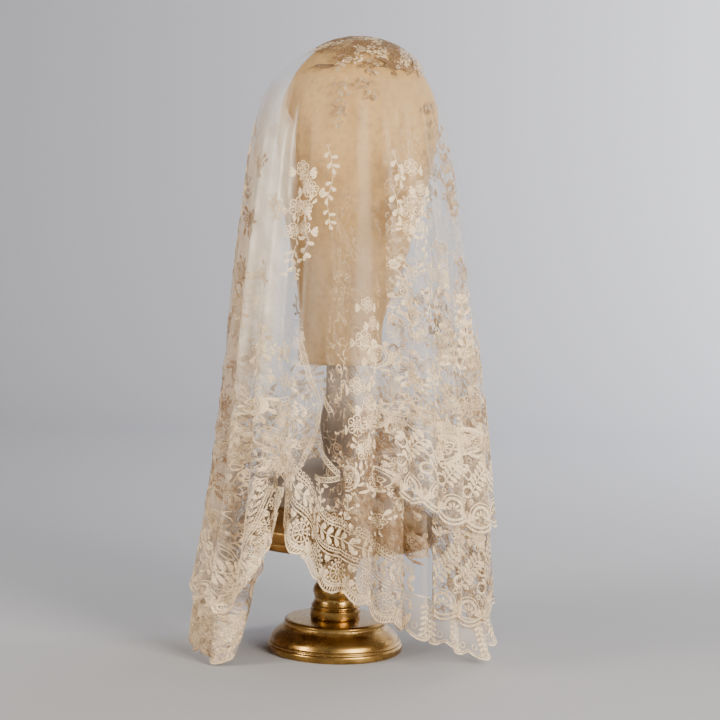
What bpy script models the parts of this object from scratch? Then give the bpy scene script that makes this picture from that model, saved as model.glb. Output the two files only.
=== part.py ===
"""A two-tier lace bridal veil draped over a smooth head form on a turned table stand.

Metres, +Z up, origin at the centre of the base's underside. The photo's camera looks along +Y,
so the front of the veil faces -Y. Angles run round the stand's axis, 0 at the front and +90 at
the right (+X). Heights are above the table that the stand rests on.
"""

import math

import bmesh
import bpy

CLOTH_WALL = 0.0012
SEAM_GAP = 0.0003
SEAM_ANGLE = 0.2
FRONT_SEAM = -43.0
RIGHT_SEAM = 16.5
BACK_SEAM = 106.0
LEFT_SEAM = 218.0
CAP_HEM = 0.6040
UNDER_TOP = 0.5750
SHOULDER_ROWS = 2
TIER_ROWS = 9
UNDERLAY_ROWS = 5
COLUMNS_PER_FOLD = 6
CAP_COLUMNS = 40
EDGE_SWAY_SHARE = 0.35
LEAST_COLUMN = 1.0
SCALLOP_ANGLE = 13.0
SCALLOP_DEPTH = 0.0065
FOLD_DEPTH = 0.025
FOLD_TOP = 0.600
FOLD_FULL = 0.130
FOLD_SHARPNESS = 1.35
TURNED_SEGMENTS = 32
FORM_SEGMENTS = 32

# Outline of the draped cloth: height, then how far it reaches from the axis on each side.
VEIL_OUTLINE = (
    # height, left, right, front, back
    (0.6482, -0.0115, 0.0125, 0.0005, 0.0005),
    (0.6468, 0.0030, 0.0270, 0.0150, 0.0150),
    (0.6415, 0.0215, 0.0455, 0.0335, 0.0335),
    (0.6310, 0.0410, 0.0640, 0.0520, 0.0520),
    (0.6195, 0.0600, 0.0760, 0.0650, 0.0650),
    (0.6040, 0.0765, 0.0862, 0.0770, 0.0770),
    (0.5890, 0.0835, 0.0935, 0.0860, 0.0850),
    (0.5600, 0.0905, 0.1020, 0.0970, 0.0960),
    (0.5260, 0.0975, 0.1090, 0.1040, 0.1030),
    (0.4980, 0.1005, 0.1145, 0.1085, 0.1080),
    (0.4530, 0.1055, 0.1215, 0.1140, 0.1140),
    (0.4100, 0.1095, 0.1270, 0.1190, 0.1190),
    (0.3640, 0.1135, 0.1325, 0.1230, 0.1240),
    (0.3120, 0.1175, 0.1380, 0.1280, 0.1290),
    (0.2530, 0.1230, 0.1455, 0.1330, 0.1350),
    (0.1980, 0.1280, 0.1510, 0.1380, 0.1400),
    (0.1430, 0.1340, 0.1560, 0.1420, 0.1450),
    (0.0860, 0.1425, 0.1615, 0.1460, 0.1490),
    (0.0360, 0.1530, 0.1665, 0.1500, 0.1530),
    (0.0000, 0.1560, 0.1770, 0.1520, 0.1560),
)

# Each fold's crest, how deep the trough after it is, and how far the trough leans.
FOLDS = (
    # crest angle, depth share, lean
    (-108.0, 0.80, 0.2),
    (-90.0, 0.75, -0.3),
    (-73.0, 0.60, 0.3),
    (-56.0, 1.00, 0.4),
    (-39.0, 0.80, -0.2),
    (-22.0, 0.45, 0.3),
    (-7.0, 0.35, -0.4),
    (5.0, 0.60, 0.3),
    (20.0, 0.75, -0.3),
    (34.0, 0.85, 0.2),
    (49.0, 1.00, 0.4),
    (68.0, 0.70, -0.2),
    (90.0, 0.90, 0.3),
    (111.0, 0.75, -0.3),
    (133.0, 1.00, 0.2),
    (155.0, 0.70, 0.4),
    (178.0, 0.95, -0.2),
    (200.0, 0.75, 0.3),
    (223.0, 1.00, -0.4),
)

# Hem heights by angle, one table for each tier.
LONG_HEM = (
    # angle, height
    (-137.0, 0.0960),
    (-122.0, 0.0400),
    (-108.0, 0.0140),
    (-92.0, 0.0012),
    (-43.1, 0.0012),
    (-43.0, 0.2060),
    (-32.0, 0.1900),
    (-28.0, 0.1560),
    (-22.0, 0.1230),
    (-16.0, 0.1090),
    (-8.0, 0.0900),
    (0.0, 0.0840),
    (9.0, 0.0690),
    (19.0, 0.0530),
    (27.0, 0.0440),
    (50.0, 0.0220),
    (68.0, 0.0040),
    (75.0, 0.0012),
    (82.0, 0.0040),
    (92.0, 0.0120),
    (112.0, 0.0260),
    (130.0, 0.0620),
    (150.0, 0.1250),
    (170.0, 0.1360),
    (200.0, 0.1360),
    (223.0, 0.0960),
)
SHORT_HEM = (
    # angle, height
    (-137.0, 0.1200),
    (-121.0, 0.0880),
    (-105.0, 0.0680),
    (-80.0, 0.0580),
    (-52.0, 0.0560),
    (-20.0, 0.0700),
    (17.0, 0.1800),
    (26.0, 0.1760),
    (42.0, 0.1570),
    (60.0, 0.1390),
    (90.0, 0.1330),
    (112.0, 0.1320),
    (140.0, 0.1450),
    (170.0, 0.1700),
    (200.0, 0.1650),
    (223.0, 0.1200),
)
UNDERLAY_HEM = (
    # angle, height
    (36.0, 0.0620),
    (50.0, 0.0500),
    (76.0, 0.0340),
    (92.0, 0.0520),
    (108.0, 0.1250),
)

# Free front edges by height.
LEFT_TIER_EDGE = (
    # height, angle
    (0.6040, -43.4),
    (0.5750, -43.4),
    (0.5500, -34.0),
    (0.4500, -26.0),
    (0.3300, -20.0),
    (0.2710, -10.0),
    (0.2350, -14.0),
    (0.2000, -22.5),
    (0.1800, -24.5),
    (0.1550, -26.5),
    (0.1250, -32.5),
    (0.0850, -38.0),
    (0.0560, -46.0),
)
LEFT_LONG_EDGE = (
    # height, angle
    (0.5750, -43.8),
    (0.1750, -43.8),
    (0.1300, -37.0),
    (0.1070, -36.0),
    (0.0600, -44.0),
    (0.0300, -49.0),
    (0.0000, -52.0),
)
RIGHT_TIER_EDGE = (
    # height, angle
    (0.6040, 16.9),
    (0.5750, 16.9),
    (0.3240, 17.2),
    (0.1760, 19.5),
)

# How far the upper tier stands off the lower one, at its hem, by angle.
TIER_FLARE = (
    # angle, distance
    (-142.0, 0.0090),
    (-75.0, 0.0090),
    (-40.0, 0.0180),
    (-10.0, 0.0160),
    (20.0, 0.0130),
    (45.0, 0.0120),
    (90.0, 0.0130),
    (112.0, 0.0120),
    (218.0, 0.0090),
)
TIER_LIFT = 0.0042
TIER_LIFT_TOP = 0.6035
TIER_LIFT_FULL = 0.5800
FLARE_REACH = 0.4640
SHORT_FULLNESS = 0.75
UNDERLAY_LIFT = 0.0052
UNDERLAY_FULLNESS = 0.88
UNDERLAY_TOP = 0.2450
UNDERLAY_START = 36.0
UNDERLAY_END = 108.0

# The left tail hangs flatter than the round of the veil: it tucks in towards its front corner.
TAIL_TUCK = 0.030
TAIL_TOP = 0.150
TAIL_RISE = 0.090
TAIL_START = -88.0
TAIL_FULL = -52.0
TAIL_END = -30.0
TAIL_RETURN = 6.0

# Head form: an egg on a round neck, turned a little to the right.
FORM_RINGS = (
    # height, centre x, half width, centre y, half depth
    (0.3070, -0.0020, 0.0440, 0.0000, 0.0440),
    (0.3415, -0.0015, 0.0435, 0.0000, 0.0440),
    (0.3825, 0.0025, 0.0505, -0.0020, 0.0490),
    (0.4170, 0.0060, 0.0590, -0.0040, 0.0580),
    (0.4620, 0.0065, 0.0700, -0.0050, 0.0700),
    (0.5070, 0.0090, 0.0795, -0.0050, 0.0800),
    (0.5305, 0.0105, 0.0825, -0.0050, 0.0840),
    (0.5536, 0.0120, 0.0835, -0.0040, 0.0850),
    (0.5740, 0.0125, 0.0815, -0.0030, 0.0830),
    (0.5920, 0.0125, 0.0755, -0.0020, 0.0770),
    (0.6090, 0.0122, 0.0665, -0.0010, 0.0680),
    (0.6240, 0.0120, 0.0545, 0.0000, 0.0560),
    (0.6350, 0.0120, 0.0410, 0.0000, 0.0420),
    (0.6430, 0.0120, 0.0230, 0.0000, 0.0235),
)
FORM_TOP = (0.0120, 0.0000, 0.6470)

# Turned profiles, outer side from bottom to top: radius, height.
BASE_PROFILE = (
    (0.0710, 0.0000),
    (0.0720, 0.0012),
    (0.0720, 0.0065),
    (0.0700, 0.0080),
    (0.0708, 0.0098),
    (0.0690, 0.0112),
    (0.0675, 0.0160),
    (0.0620, 0.0215),
    (0.0560, 0.0255),
    (0.0540, 0.0290),
    (0.0545, 0.0318),
    (0.0525, 0.0335),
    (0.0500, 0.0340),
)
COLLAR_PROFILE = (
    (0.0262, 0.0343),
    (0.0268, 0.0355),
    (0.0268, 0.0440),
    (0.0246, 0.0452),
    (0.0265, 0.0472),
    (0.0246, 0.0495),
    (0.0222, 0.0545),
    (0.0236, 0.0590),
    (0.0247, 0.0635),
    (0.0236, 0.0680),
    (0.0205, 0.0720),
    (0.0225, 0.0900),
    (0.0330, 0.1080),
    (0.0520, 0.1180),
)
DISH_PROFILE = (
    (0.1030, 0.1183),
    (0.1050, 0.1200),
    (0.1050, 0.1255),
    (0.1036, 0.1268),
    (0.1050, 0.1282),
    (0.1050, 0.1380),
    (0.1030, 0.1400),
    (0.0960, 0.1480),
    (0.0820, 0.1560),
    (0.0790, 0.1597),
)
SHOULDER_PROFILE = (
    (0.0785, 0.1600),
    (0.0720, 0.1680),
    (0.0680, 0.1800),
    (0.0620, 0.1920),
    (0.0480, 0.1990),
    (0.0300, 0.2020),
)
STEM_PROFILE = (
    (0.0175, 0.2023),
    (0.0158, 0.2080),
    (0.0175, 0.2200),
    (0.0206, 0.2340),
    (0.0210, 0.2430),
    (0.0195, 0.2560),
    (0.0164, 0.2670),
    (0.0156, 0.2690),
    (0.0156, 0.3067),
)

COLORS = {
    # name: colour, roughness, metallic
    "lace": ((0.86, 0.81, 0.72), 0.85, 0.0),
    "linen": ((0.78, 0.67, 0.53), 0.90, 0.0),
    "gold": ((0.62, 0.43, 0.17), 0.35, 0.9),
    "bronze": ((0.34, 0.21, 0.09), 0.45, 0.7),
    "taupe": ((0.23, 0.18, 0.15), 0.50, 0.0),
}


def clear_scene():
    for item in list(bpy.data.objects):
        bpy.data.objects.remove(item)


def material(name):
    found = bpy.data.materials.get(name)
    if found:
        return found
    color, roughness, metallic = COLORS[name]
    found = bpy.data.materials.new(name)
    found.use_nodes = True
    shader = found.node_tree.nodes["Principled BSDF"]
    shader.inputs["Base Color"].default_value = (*color, 1.0)
    shader.inputs["Roughness"].default_value = roughness
    shader.inputs["Metallic"].default_value = metallic
    return found


def add_object(name, mesh_data, finish):
    """Turns finished bmesh data into a named object of one finish."""
    bmesh.ops.recalc_face_normals(mesh_data, faces=mesh_data.faces)
    mesh = bpy.data.meshes.new(name)
    mesh_data.to_mesh(mesh)
    mesh_data.free()
    mesh.shade_smooth()
    mesh.set_sharp_from_angle(angle=math.radians(40.0))
    mesh.materials.append(material(finish))
    item = bpy.data.objects.new(name, mesh)
    bpy.context.scene.collection.objects.link(item)
    return item


def smooth(value):
    value = min(1.0, max(0.0, value))
    return value * value * (3.0 - 2.0 * value)


def look_up(table, key):
    """The second column of a two-column table at a key, eased between rows."""
    rows = sorted(table)
    if key <= rows[0][0]:
        return rows[0][1]
    for (low, first), (high, second) in zip(rows, rows[1:]):
        if key <= high:
            share = (key - low) / (high - low)
            return first + (second - first) * share
    return rows[-1][1]


def outline_at(height):
    """Left, right, front and back reach of the cloth at a height."""
    rows = VEIL_OUTLINE
    if height >= rows[0][0]:
        return rows[0][1:]
    for upper, lower in zip(rows, rows[1:]):
        if height >= lower[0]:
            share = (upper[0] - height) / (upper[0] - lower[0])
            return tuple(a + (b - a) * share for a, b in zip(upper[1:], lower[1:]))
    return rows[-1][1:]


def trough(angle):
    """How deep the folds lie at an angle: 0 on a crest, up to 1 in a trough."""
    first = FOLDS[0][0]
    angle = (angle - first) % 360.0 + first
    following = FOLDS[1:] + ((first + 360.0, 0.0, 0.0),)
    for (crest, depth, lean), (next_crest, _, _) in zip(FOLDS, following):
        if angle <= next_crest:
            share = (angle - crest) / (next_crest - crest)
            share += lean * math.sin(2.0 * math.pi * share) / (2.0 * math.pi)
            return depth * math.sin(math.pi * share) ** FOLD_SHARPNESS
    return 0.0


def fold_depth(height):
    """Folds start as creases under the crown and deepen towards the hem."""
    return FOLD_DEPTH * smooth((FOLD_TOP - height) / (FOLD_TOP - FOLD_FULL)) ** 0.8


def tail_tuck(angle, height):
    """How far the left tail draws in, growing downwards and towards its front corner."""
    low = smooth((TAIL_TOP - height) / TAIL_RISE)
    turned_in = smooth((angle - TAIL_START) / (TAIL_FULL - TAIL_START))
    returned = smooth((angle - TAIL_END) / TAIL_RETURN)
    return TAIL_TUCK * low * turned_in * (1.0 - returned)


def cloth_point(angle, height, lift=0.0, fullness=1.0):
    """A point on the draped cloth, lift metres outside the lower tier's own surface."""
    left, right, front, back = outline_at(height)
    inset = lift - fold_depth(height) * trough(angle) * fullness - tail_tuck(angle, height)
    across = (left + right) / 2.0 + inset
    deep = (front + back) / 2.0 + inset
    turn = math.radians(angle)
    x = (right - left) / 2.0 + across * math.sin(turn)
    y = (back - front) / 2.0 - deep * math.cos(turn)
    return (x, y, height)


def scallop(angle):
    """Height of the scalloped edge above its lowest line."""
    return SCALLOP_DEPTH * (1.0 - abs(math.sin(math.pi * angle / SCALLOP_ANGLE)))


def tier_lift(angle, height):
    """Gap between the two tiers: none at the crown, widest at the upper tier's hem."""
    ramp = smooth((TIER_LIFT_TOP - height) / (TIER_LIFT_TOP - TIER_LIFT_FULL))
    drop = min(1.0, max(0.0, (TIER_LIFT_FULL - height) / FLARE_REACH))
    spread = look_up(TIER_FLARE, angle) - TIER_LIFT
    return TIER_LIFT * ramp + spread * drop**1.1


def add_wall(item):
    wall = item.modifiers.new("wall", "SOLIDIFY")
    wall.thickness = CLOTH_WALL
    wall.offset = 0.0
    wall.use_even_offset = False


def column_angles(first, last):
    """Columns at even shares of each fold, so that each tier has them at crests and troughs."""
    found = [first]
    crests = [row[0] for row in FOLDS]
    crests = [crest + turn for turn in (-360.0, 0.0, 360.0) for crest in crests]
    for crest, following in zip(crests, crests[1:]):
        for step in range(COLUMNS_PER_FOLD):
            angle = crest + (following - crest) * step / COLUMNS_PER_FOLD
            if first + LEAST_COLUMN < angle < last - LEAST_COLUMN:
                found.append(angle)
    return [*found, last]


def cloth_panel(name, start, end, top, hem, rows, lift=None, fullness=1.0):
    """One stretch of a tier, from top down to its hem table.

    start and end are an angle, or an edge table by height. rows counts those below UNDER_TOP.
    """

    def side(edge, height):
        return edge if isinstance(edge, float) else look_up(edge, height)

    def sway(part):
        return smooth(1.0 - part / EDGE_SWAY_SHARE)

    first = side(start, top)
    last = side(end, top)
    nominals = column_angles(first, last)
    columns = len(nominals) - 1
    body_top = min(top, UNDER_TOP)
    shoulder = SHOULDER_ROWS if top > UNDER_TOP else 0
    mesh_data = bmesh.new()
    grid = []
    for row in range(-shoulder, rows + 1):
        line = []
        for column in range(columns + 1):
            nominal = nominals[column]
            part = (nominal - first) / (last - first)
            bottom = look_up(hem, nominal)
            if row < 0:
                height = body_top - (top - body_top) * row / shoulder
            else:
                height = body_top + (bottom - body_top) * row / rows
            angle = nominal
            angle += (side(start, height) - first) * sway(part)
            angle += (side(end, height) - last) * sway(1.0 - part)
            if row == rows:
                height += scallop(nominal)
            height = min(height, top)
            away = lift(angle, height) if lift else 0.0
            point = cloth_point(angle, height, away, fullness)
            line.append(mesh_data.verts.new(point))
        grid.append(line)
    for upper, lower in zip(grid, grid[1:]):
        for column in range(columns):
            corners = (upper[column], lower[column], lower[column + 1], upper[column + 1])
            mesh_data.faces.new(corners)
    item = add_object(name, mesh_data, "lace")
    add_wall(item)
    return item


def crown_cap():
    """The cap of cloth that lies on the crown of the form."""
    heights = [row[0] for row in VEIL_OUTLINE if row[0] > CAP_HEM + SEAM_GAP]
    heights.append(CAP_HEM + SEAM_GAP)
    mesh_data = bmesh.new()
    grid = []
    for height in heights[1:]:
        ring = []
        for column in range(CAP_COLUMNS):
            angle = 360.0 * column / CAP_COLUMNS
            ring.append(mesh_data.verts.new(cloth_point(angle, height)))
        grid.append(ring)
    for upper, lower in zip(grid, grid[1:]):
        for column in range(CAP_COLUMNS):
            after = (column + 1) % CAP_COLUMNS
            mesh_data.faces.new((upper[column], lower[column], lower[after], upper[after]))
    apex = mesh_data.verts.new((FORM_TOP[0], FORM_TOP[1], heights[0]))
    for column in range(CAP_COLUMNS):
        mesh_data.faces.new((apex, grid[0][column], grid[0][(column + 1) % CAP_COLUMNS]))
    item = add_object("crown_cap", mesh_data, "lace")
    add_wall(item)
    return item


def lower_tier():
    """The long tier: the four stretches that hang to the table."""
    top = CAP_HEM - SEAM_GAP
    cloth_panel("long_front", FRONT_SEAM, RIGHT_SEAM, top, LONG_HEM, TIER_ROWS)
    cloth_panel("long_right", RIGHT_SEAM + SEAM_ANGLE, BACK_SEAM, UNDER_TOP, LONG_HEM, TIER_ROWS)
    cloth_panel("long_back", BACK_SEAM + SEAM_ANGLE, LEFT_SEAM, UNDER_TOP, LONG_HEM, TIER_ROWS)
    left = LEFT_SEAM - 360.0 + SEAM_ANGLE
    cloth_panel("long_left", left, LEFT_LONG_EDGE, UNDER_TOP, LONG_HEM, TIER_ROWS)


def upper_tier():
    """The short tier: open at the front, it lies over the long one all round."""
    top = CAP_HEM - SEAM_GAP
    lie = (top, SHORT_HEM, TIER_ROWS, tier_lift, SHORT_FULLNESS)
    cloth_panel("short_right", RIGHT_TIER_EDGE, BACK_SEAM, *lie)
    cloth_panel("short_back", BACK_SEAM + SEAM_ANGLE, LEFT_SEAM, *lie)
    cloth_panel("short_left", LEFT_SEAM - 360.0 + SEAM_ANGLE, LEFT_TIER_EDGE, *lie)


def right_underlay():
    """The folded-back layer that shows below the short tier's hem on the right."""

    def lift(angle, height):
        return UNDERLAY_LIFT

    lie = (UNDERLAY_TOP, UNDERLAY_HEM, UNDERLAY_ROWS, lift, UNDERLAY_FULLNESS)
    cloth_panel("underlay_right", UNDERLAY_START, UNDERLAY_END, *lie)


def head_form():
    """The smooth egg that the veil rests on, with its flat-cut neck."""
    mesh_data = bmesh.new()
    rings = []
    for height, x, half_width, y, half_depth in FORM_RINGS:
        ring = []
        for step in range(FORM_SEGMENTS):
            turn = 2.0 * math.pi * step / FORM_SEGMENTS
            point = (x + half_width * math.cos(turn), y + half_depth * math.sin(turn), height)
            ring.append(mesh_data.verts.new(point))
        rings.append(ring)
    for lower, upper in zip(rings, rings[1:]):
        for step in range(FORM_SEGMENTS):
            after = (step + 1) % FORM_SEGMENTS
            mesh_data.faces.new((lower[step], lower[after], upper[after], upper[step]))
    apex = mesh_data.verts.new(FORM_TOP)
    for step in range(FORM_SEGMENTS):
        mesh_data.faces.new((rings[-1][step], rings[-1][(step + 1) % FORM_SEGMENTS], apex))
    mesh_data.faces.new(list(reversed(rings[0])))
    return add_object("head_form", mesh_data, "linen")


def turned(name, profile, finish):
    """A solid turned on the stand's axis, flat at both ends."""
    mesh_data = bmesh.new()
    outline = [(0.0, profile[0][1]), *profile, (0.0, profile[-1][1])]
    points = [mesh_data.verts.new((radius, 0.0, height)) for radius, height in outline]
    edges = [mesh_data.edges.new(pair) for pair in zip(points, points[1:])]
    bmesh.ops.spin(
        mesh_data,
        geom=points + edges,
        cent=(0.0, 0.0, 0.0),
        axis=(0.0, 0.0, 1.0),
        angle=2.0 * math.pi,
        steps=TURNED_SEGMENTS,
        use_merge=True,
    )
    bmesh.ops.remove_doubles(mesh_data, verts=mesh_data.verts, dist=0.00002)
    return add_object(name, mesh_data, finish)


def stand():
    turned("stand_base", BASE_PROFILE, "gold")
    turned("stand_collar", COLLAR_PROFILE, "gold")
    turned("stand_dish", DISH_PROFILE, "bronze")
    turned("stand_shoulder", SHOULDER_PROFILE, "taupe")
    turned("stand_stem", STEM_PROFILE, "taupe")


clear_scene()
stand()
head_form()
crown_cap()
lower_tier()
upper_tier()
right_underlay()
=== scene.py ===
# %% [markdown]
# A lace bridal veil on a head form. The real veil is one large oval of fine net, worked with
# ivory thread and scalloped all round. It is folded over at the crown, so that it hangs in two
# tiers: a short one over a long one. This script dresses the plain solids of the frame with
# net, embroidery, linen, metal and painted wood. Every length is in metres and +Z is up.

# %% Load the frame
import math

import bmesh
import bpy
import numpy as np
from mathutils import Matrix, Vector


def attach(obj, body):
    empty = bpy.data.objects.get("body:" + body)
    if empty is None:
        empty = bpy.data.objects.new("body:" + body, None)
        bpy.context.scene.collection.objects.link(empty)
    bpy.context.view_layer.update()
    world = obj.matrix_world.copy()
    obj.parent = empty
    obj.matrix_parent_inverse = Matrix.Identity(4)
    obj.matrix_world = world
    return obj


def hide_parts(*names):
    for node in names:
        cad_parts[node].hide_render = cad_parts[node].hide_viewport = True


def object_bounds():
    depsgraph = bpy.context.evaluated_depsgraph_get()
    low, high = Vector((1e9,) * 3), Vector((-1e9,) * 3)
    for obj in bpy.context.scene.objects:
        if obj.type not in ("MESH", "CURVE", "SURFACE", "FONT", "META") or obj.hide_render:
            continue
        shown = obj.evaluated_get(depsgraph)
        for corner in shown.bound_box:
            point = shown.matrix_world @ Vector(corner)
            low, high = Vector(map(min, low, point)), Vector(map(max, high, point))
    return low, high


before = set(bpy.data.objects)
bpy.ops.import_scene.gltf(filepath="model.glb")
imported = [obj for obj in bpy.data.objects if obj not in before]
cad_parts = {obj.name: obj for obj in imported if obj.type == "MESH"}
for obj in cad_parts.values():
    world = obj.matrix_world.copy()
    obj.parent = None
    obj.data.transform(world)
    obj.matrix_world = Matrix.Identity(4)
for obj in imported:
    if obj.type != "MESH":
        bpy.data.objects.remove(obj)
cad_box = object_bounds()
scene = bpy.context.scene


def add_object(name, data):
    """An object for this mesh, lamp or camera, linked into the scene."""
    item = bpy.data.objects.new(name, data)
    scene.collection.objects.link(item)
    return item


print("solids:", sorted(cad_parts))

# %% [markdown]
# The camera stands two metres in front of the veil with a long lens, a little above its middle,
# and looks slightly down. It is rolled by a little over a degree, as the photo's camera was.

# %% Camera
CAMERA_PLACE = (0.0155, -2.0, 0.478)
CAMERA_PITCH = math.radians(4.8)
CAMERA_ROLL = math.radians(-1.4)
LENS, FILM_WIDTH = 95.0, 36.0
camera_data = bpy.data.cameras.new("camera")
camera_data.lens = LENS
camera_data.sensor_width = FILM_WIDTH
camera = add_object("camera", camera_data)
camera.location = CAMERA_PLACE
camera.rotation_euler = (math.pi / 2 - CAMERA_PITCH, CAMERA_ROLL, 0.0)
scene.camera = camera
print("camera at", CAMERA_PLACE, "with a", LENS, "mm lens")

# %% [markdown]
# Soft studio light. A warm key lamp from the left and a warm fill from the right do most of the
# work, and a weak lamp behind makes the net glow where it doubles over. A fourth lamp shines on
# the wall alone, at the right. The world around is brighter above than below. The floor curves
# up into the plain wall, so that no corner shows. A ray may pass many layers of net.

# %% Light and floor
FLOOR_Z = min(0.0, cad_box[0][2]) - 0.0004
VEIL_MIDDLE = (0.0, 0.0, 0.35)
LIGHTS = (
    # name, place, what it is aimed at, size, power, colour
    ("key", (-1.8, -1.0, 0.85), VEIL_MIDDLE, 0.8, 52.0, (1.0, 0.91, 0.79)),
    ("fill", (1.3, -1.6, 0.80), VEIL_MIDDLE, 0.9, 84.0, (1.0, 0.92, 0.80)),
    ("back", (0.9, 1.1, 1.4), VEIL_MIDDLE, 1.0, 12.0, (0.96, 0.97, 1.0)),
    ("wall", (2.6, 1.3, 1.2), (1.9, 2.9, 0.6), 1.4, 260.0, (0.93, 0.94, 1.0)),
)
WORLD_COLOR = (0.84, 0.85, 0.88, 1.0)
WORLD_STRENGTH = {"From Min": 0.0, "From Max": 0.7, "To Min": 0.11, "To Max": 0.42}
WALL_COLOR, WALL_ROUGHNESS = (0.37, 0.373, 0.395, 1.0), 0.85
BEND_STEPS = 12
LAYERS_OF_NET = 40

for name, place, target, size, power, color in LIGHTS:
    lamp = bpy.data.lights.new(name, "AREA")
    lamp.size = size
    lamp.energy = power
    lamp.color = color
    item = add_object(name, lamp)
    item.location = place
    item.rotation_euler = (Vector(target) - item.location).to_track_quat("-Z", "Y").to_euler()


def studio_world():
    """A world whose strength rises with the height of the ray."""
    world = bpy.data.worlds.new("studio")
    world.use_nodes = True
    nodes, links = world.node_tree.nodes, world.node_tree.links
    ray = nodes.new("ShaderNodeTexCoord")
    parts = nodes.new("ShaderNodeSeparateXYZ")
    strength = nodes.new("ShaderNodeMapRange")
    links.new(ray.outputs["Generated"], parts.inputs[0])
    links.new(parts.outputs["Z"], strength.inputs["Value"])
    links.new(strength.outputs[0], nodes["Background"].inputs["Strength"])
    for label, value in WORLD_STRENGTH.items():
        strength.inputs[label].default_value = value
    nodes["Background"].inputs["Color"].default_value = WORLD_COLOR
    return world


def backdrop(width, near, far, bend, top):
    """A floor that curves up into a wall, as one strip."""
    profile = [(near, 0.0)]
    for step in range(BEND_STEPS + 1):
        turn = math.pi / 2 * step / BEND_STEPS
        profile.append((far + bend * math.sin(turn), bend * (1.0 - math.cos(turn))))
    profile.append((far + bend, top))
    points = [(x, y, z + FLOOR_Z) for y, z in profile for x in (-width / 2, width / 2)]
    faces = [(2 * i, 2 * i + 1, 2 * i + 3, 2 * i + 2) for i in range(len(profile) - 1)]
    paper = bpy.data.materials.new("backdrop_paper")
    paper.use_nodes = True
    shader = paper.node_tree.nodes["Principled BSDF"]
    shader.inputs["Base Color"].default_value = WALL_COLOR
    shader.inputs["Roughness"].default_value = WALL_ROUGHNESS
    mesh = bpy.data.meshes.new("backdrop")
    mesh.from_pydata(points, [], faces)
    mesh.shade_smooth()
    mesh.materials.append(paper)
    add_object("backdrop", mesh)


scene.world = studio_world()
backdrop(width=18.0, near=-8.0, far=1.9, bend=1.0, top=4.0)
scene.cycles.transparent_max_bounces = LAYERS_OF_NET
print("lamps:", [row[0] for row in LIGHTS])

# %% [markdown]
# The drape is worked out, not simulated, so that the cloth keeps to the frame's solids. An
# outline says how far the cloth reaches at each height. Folds cut into it, shallow creases at
# the crown and deep flutes at the hem. The tables are the same as the solids' own, and here a
# smooth curve runs through their rows.

# %% The drape's tables
CAP_HEM = 0.6040
UNDER_TOP = 0.5990
FOLD_DEPTH = 0.025
FOLD_TOP = 0.600
FOLD_FULL = 0.130
FOLD_SHARPNESS = 1.35
FRONT_SEAM, RIGHT_SEAM, BACK_SEAM, LEFT_SEAM = -43.0, 16.5, 106.0, 218.0
APEX = (0.0120, 0.0, 0.6482)
OUTLINE = np.array((
    # height, left, right, front, back
    (0.6482, -0.0115, 0.0125, 0.0005, 0.0005),
    (0.6468, 0.0030, 0.0270, 0.0150, 0.0150),
    (0.6415, 0.0215, 0.0455, 0.0335, 0.0335),
    (0.6310, 0.0410, 0.0640, 0.0520, 0.0520),
    (0.6195, 0.0600, 0.0760, 0.0650, 0.0650),
    (0.6040, 0.0765, 0.0862, 0.0770, 0.0770),
    (0.5890, 0.0835, 0.0935, 0.0860, 0.0850),
    (0.5600, 0.0905, 0.1020, 0.0970, 0.0960),
    (0.5260, 0.0975, 0.1090, 0.1040, 0.1030),
    (0.4980, 0.1005, 0.1145, 0.1085, 0.1080),
    (0.4530, 0.1055, 0.1215, 0.1140, 0.1140),
    (0.4100, 0.1095, 0.1270, 0.1190, 0.1190),
    (0.3640, 0.1135, 0.1325, 0.1230, 0.1240),
    (0.3120, 0.1175, 0.1380, 0.1280, 0.1290),
    (0.2530, 0.1230, 0.1455, 0.1330, 0.1350),
    (0.1980, 0.1280, 0.1510, 0.1380, 0.1400),
    (0.1430, 0.1340, 0.1560, 0.1420, 0.1450),
    (0.0860, 0.1425, 0.1615, 0.1460, 0.1490),
    (0.0360, 0.1530, 0.1665, 0.1500, 0.1530),
    (0.0000, 0.1560, 0.1770, 0.1520, 0.1560),
))
FOLDS = np.array((
    # crest angle, depth share, lean
    (-108.0, 0.80, 0.2),
    (-90.0, 0.75, -0.3),
    (-73.0, 0.60, 0.3),
    (-56.0, 1.00, 0.4),
    (-39.0, 0.80, -0.2),
    (-22.0, 0.45, 0.3),
    (-7.0, 0.35, -0.4),
    (5.0, 0.60, 0.3),
    (20.0, 0.75, -0.3),
    (34.0, 0.85, 0.2),
    (49.0, 1.00, 0.4),
    (68.0, 0.70, -0.2),
    (90.0, 0.90, 0.3),
    (111.0, 0.75, -0.3),
    (133.0, 1.00, 0.2),
    (155.0, 0.70, 0.4),
    (178.0, 0.95, -0.2),
    (200.0, 0.75, 0.3),
    (223.0, 1.00, -0.4),
))
LONG_HEM = (
    # angle, height
    (-142.0, 0.1065), (-137.0, 0.0960), (-122.0, 0.0400), (-108.0, 0.0140),
    (-92.0, 0.0012), (-43.1, 0.0012),
    (-43.0, 0.2060), (-32.0, 0.1900), (-28.0, 0.1560), (-22.0, 0.1230),
    (-16.0, 0.1090), (-8.0, 0.0900), (0.0, 0.0840), (9.0, 0.0690),
    (19.0, 0.0530), (27.0, 0.0440), (50.0, 0.0220), (68.0, 0.0040),
    (75.0, 0.0012), (82.0, 0.0040), (92.0, 0.0120), (112.0, 0.0260),
    (130.0, 0.0620), (150.0, 0.1250), (170.0, 0.1360), (200.0, 0.1360), (218.0, 0.1065),
)
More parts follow.
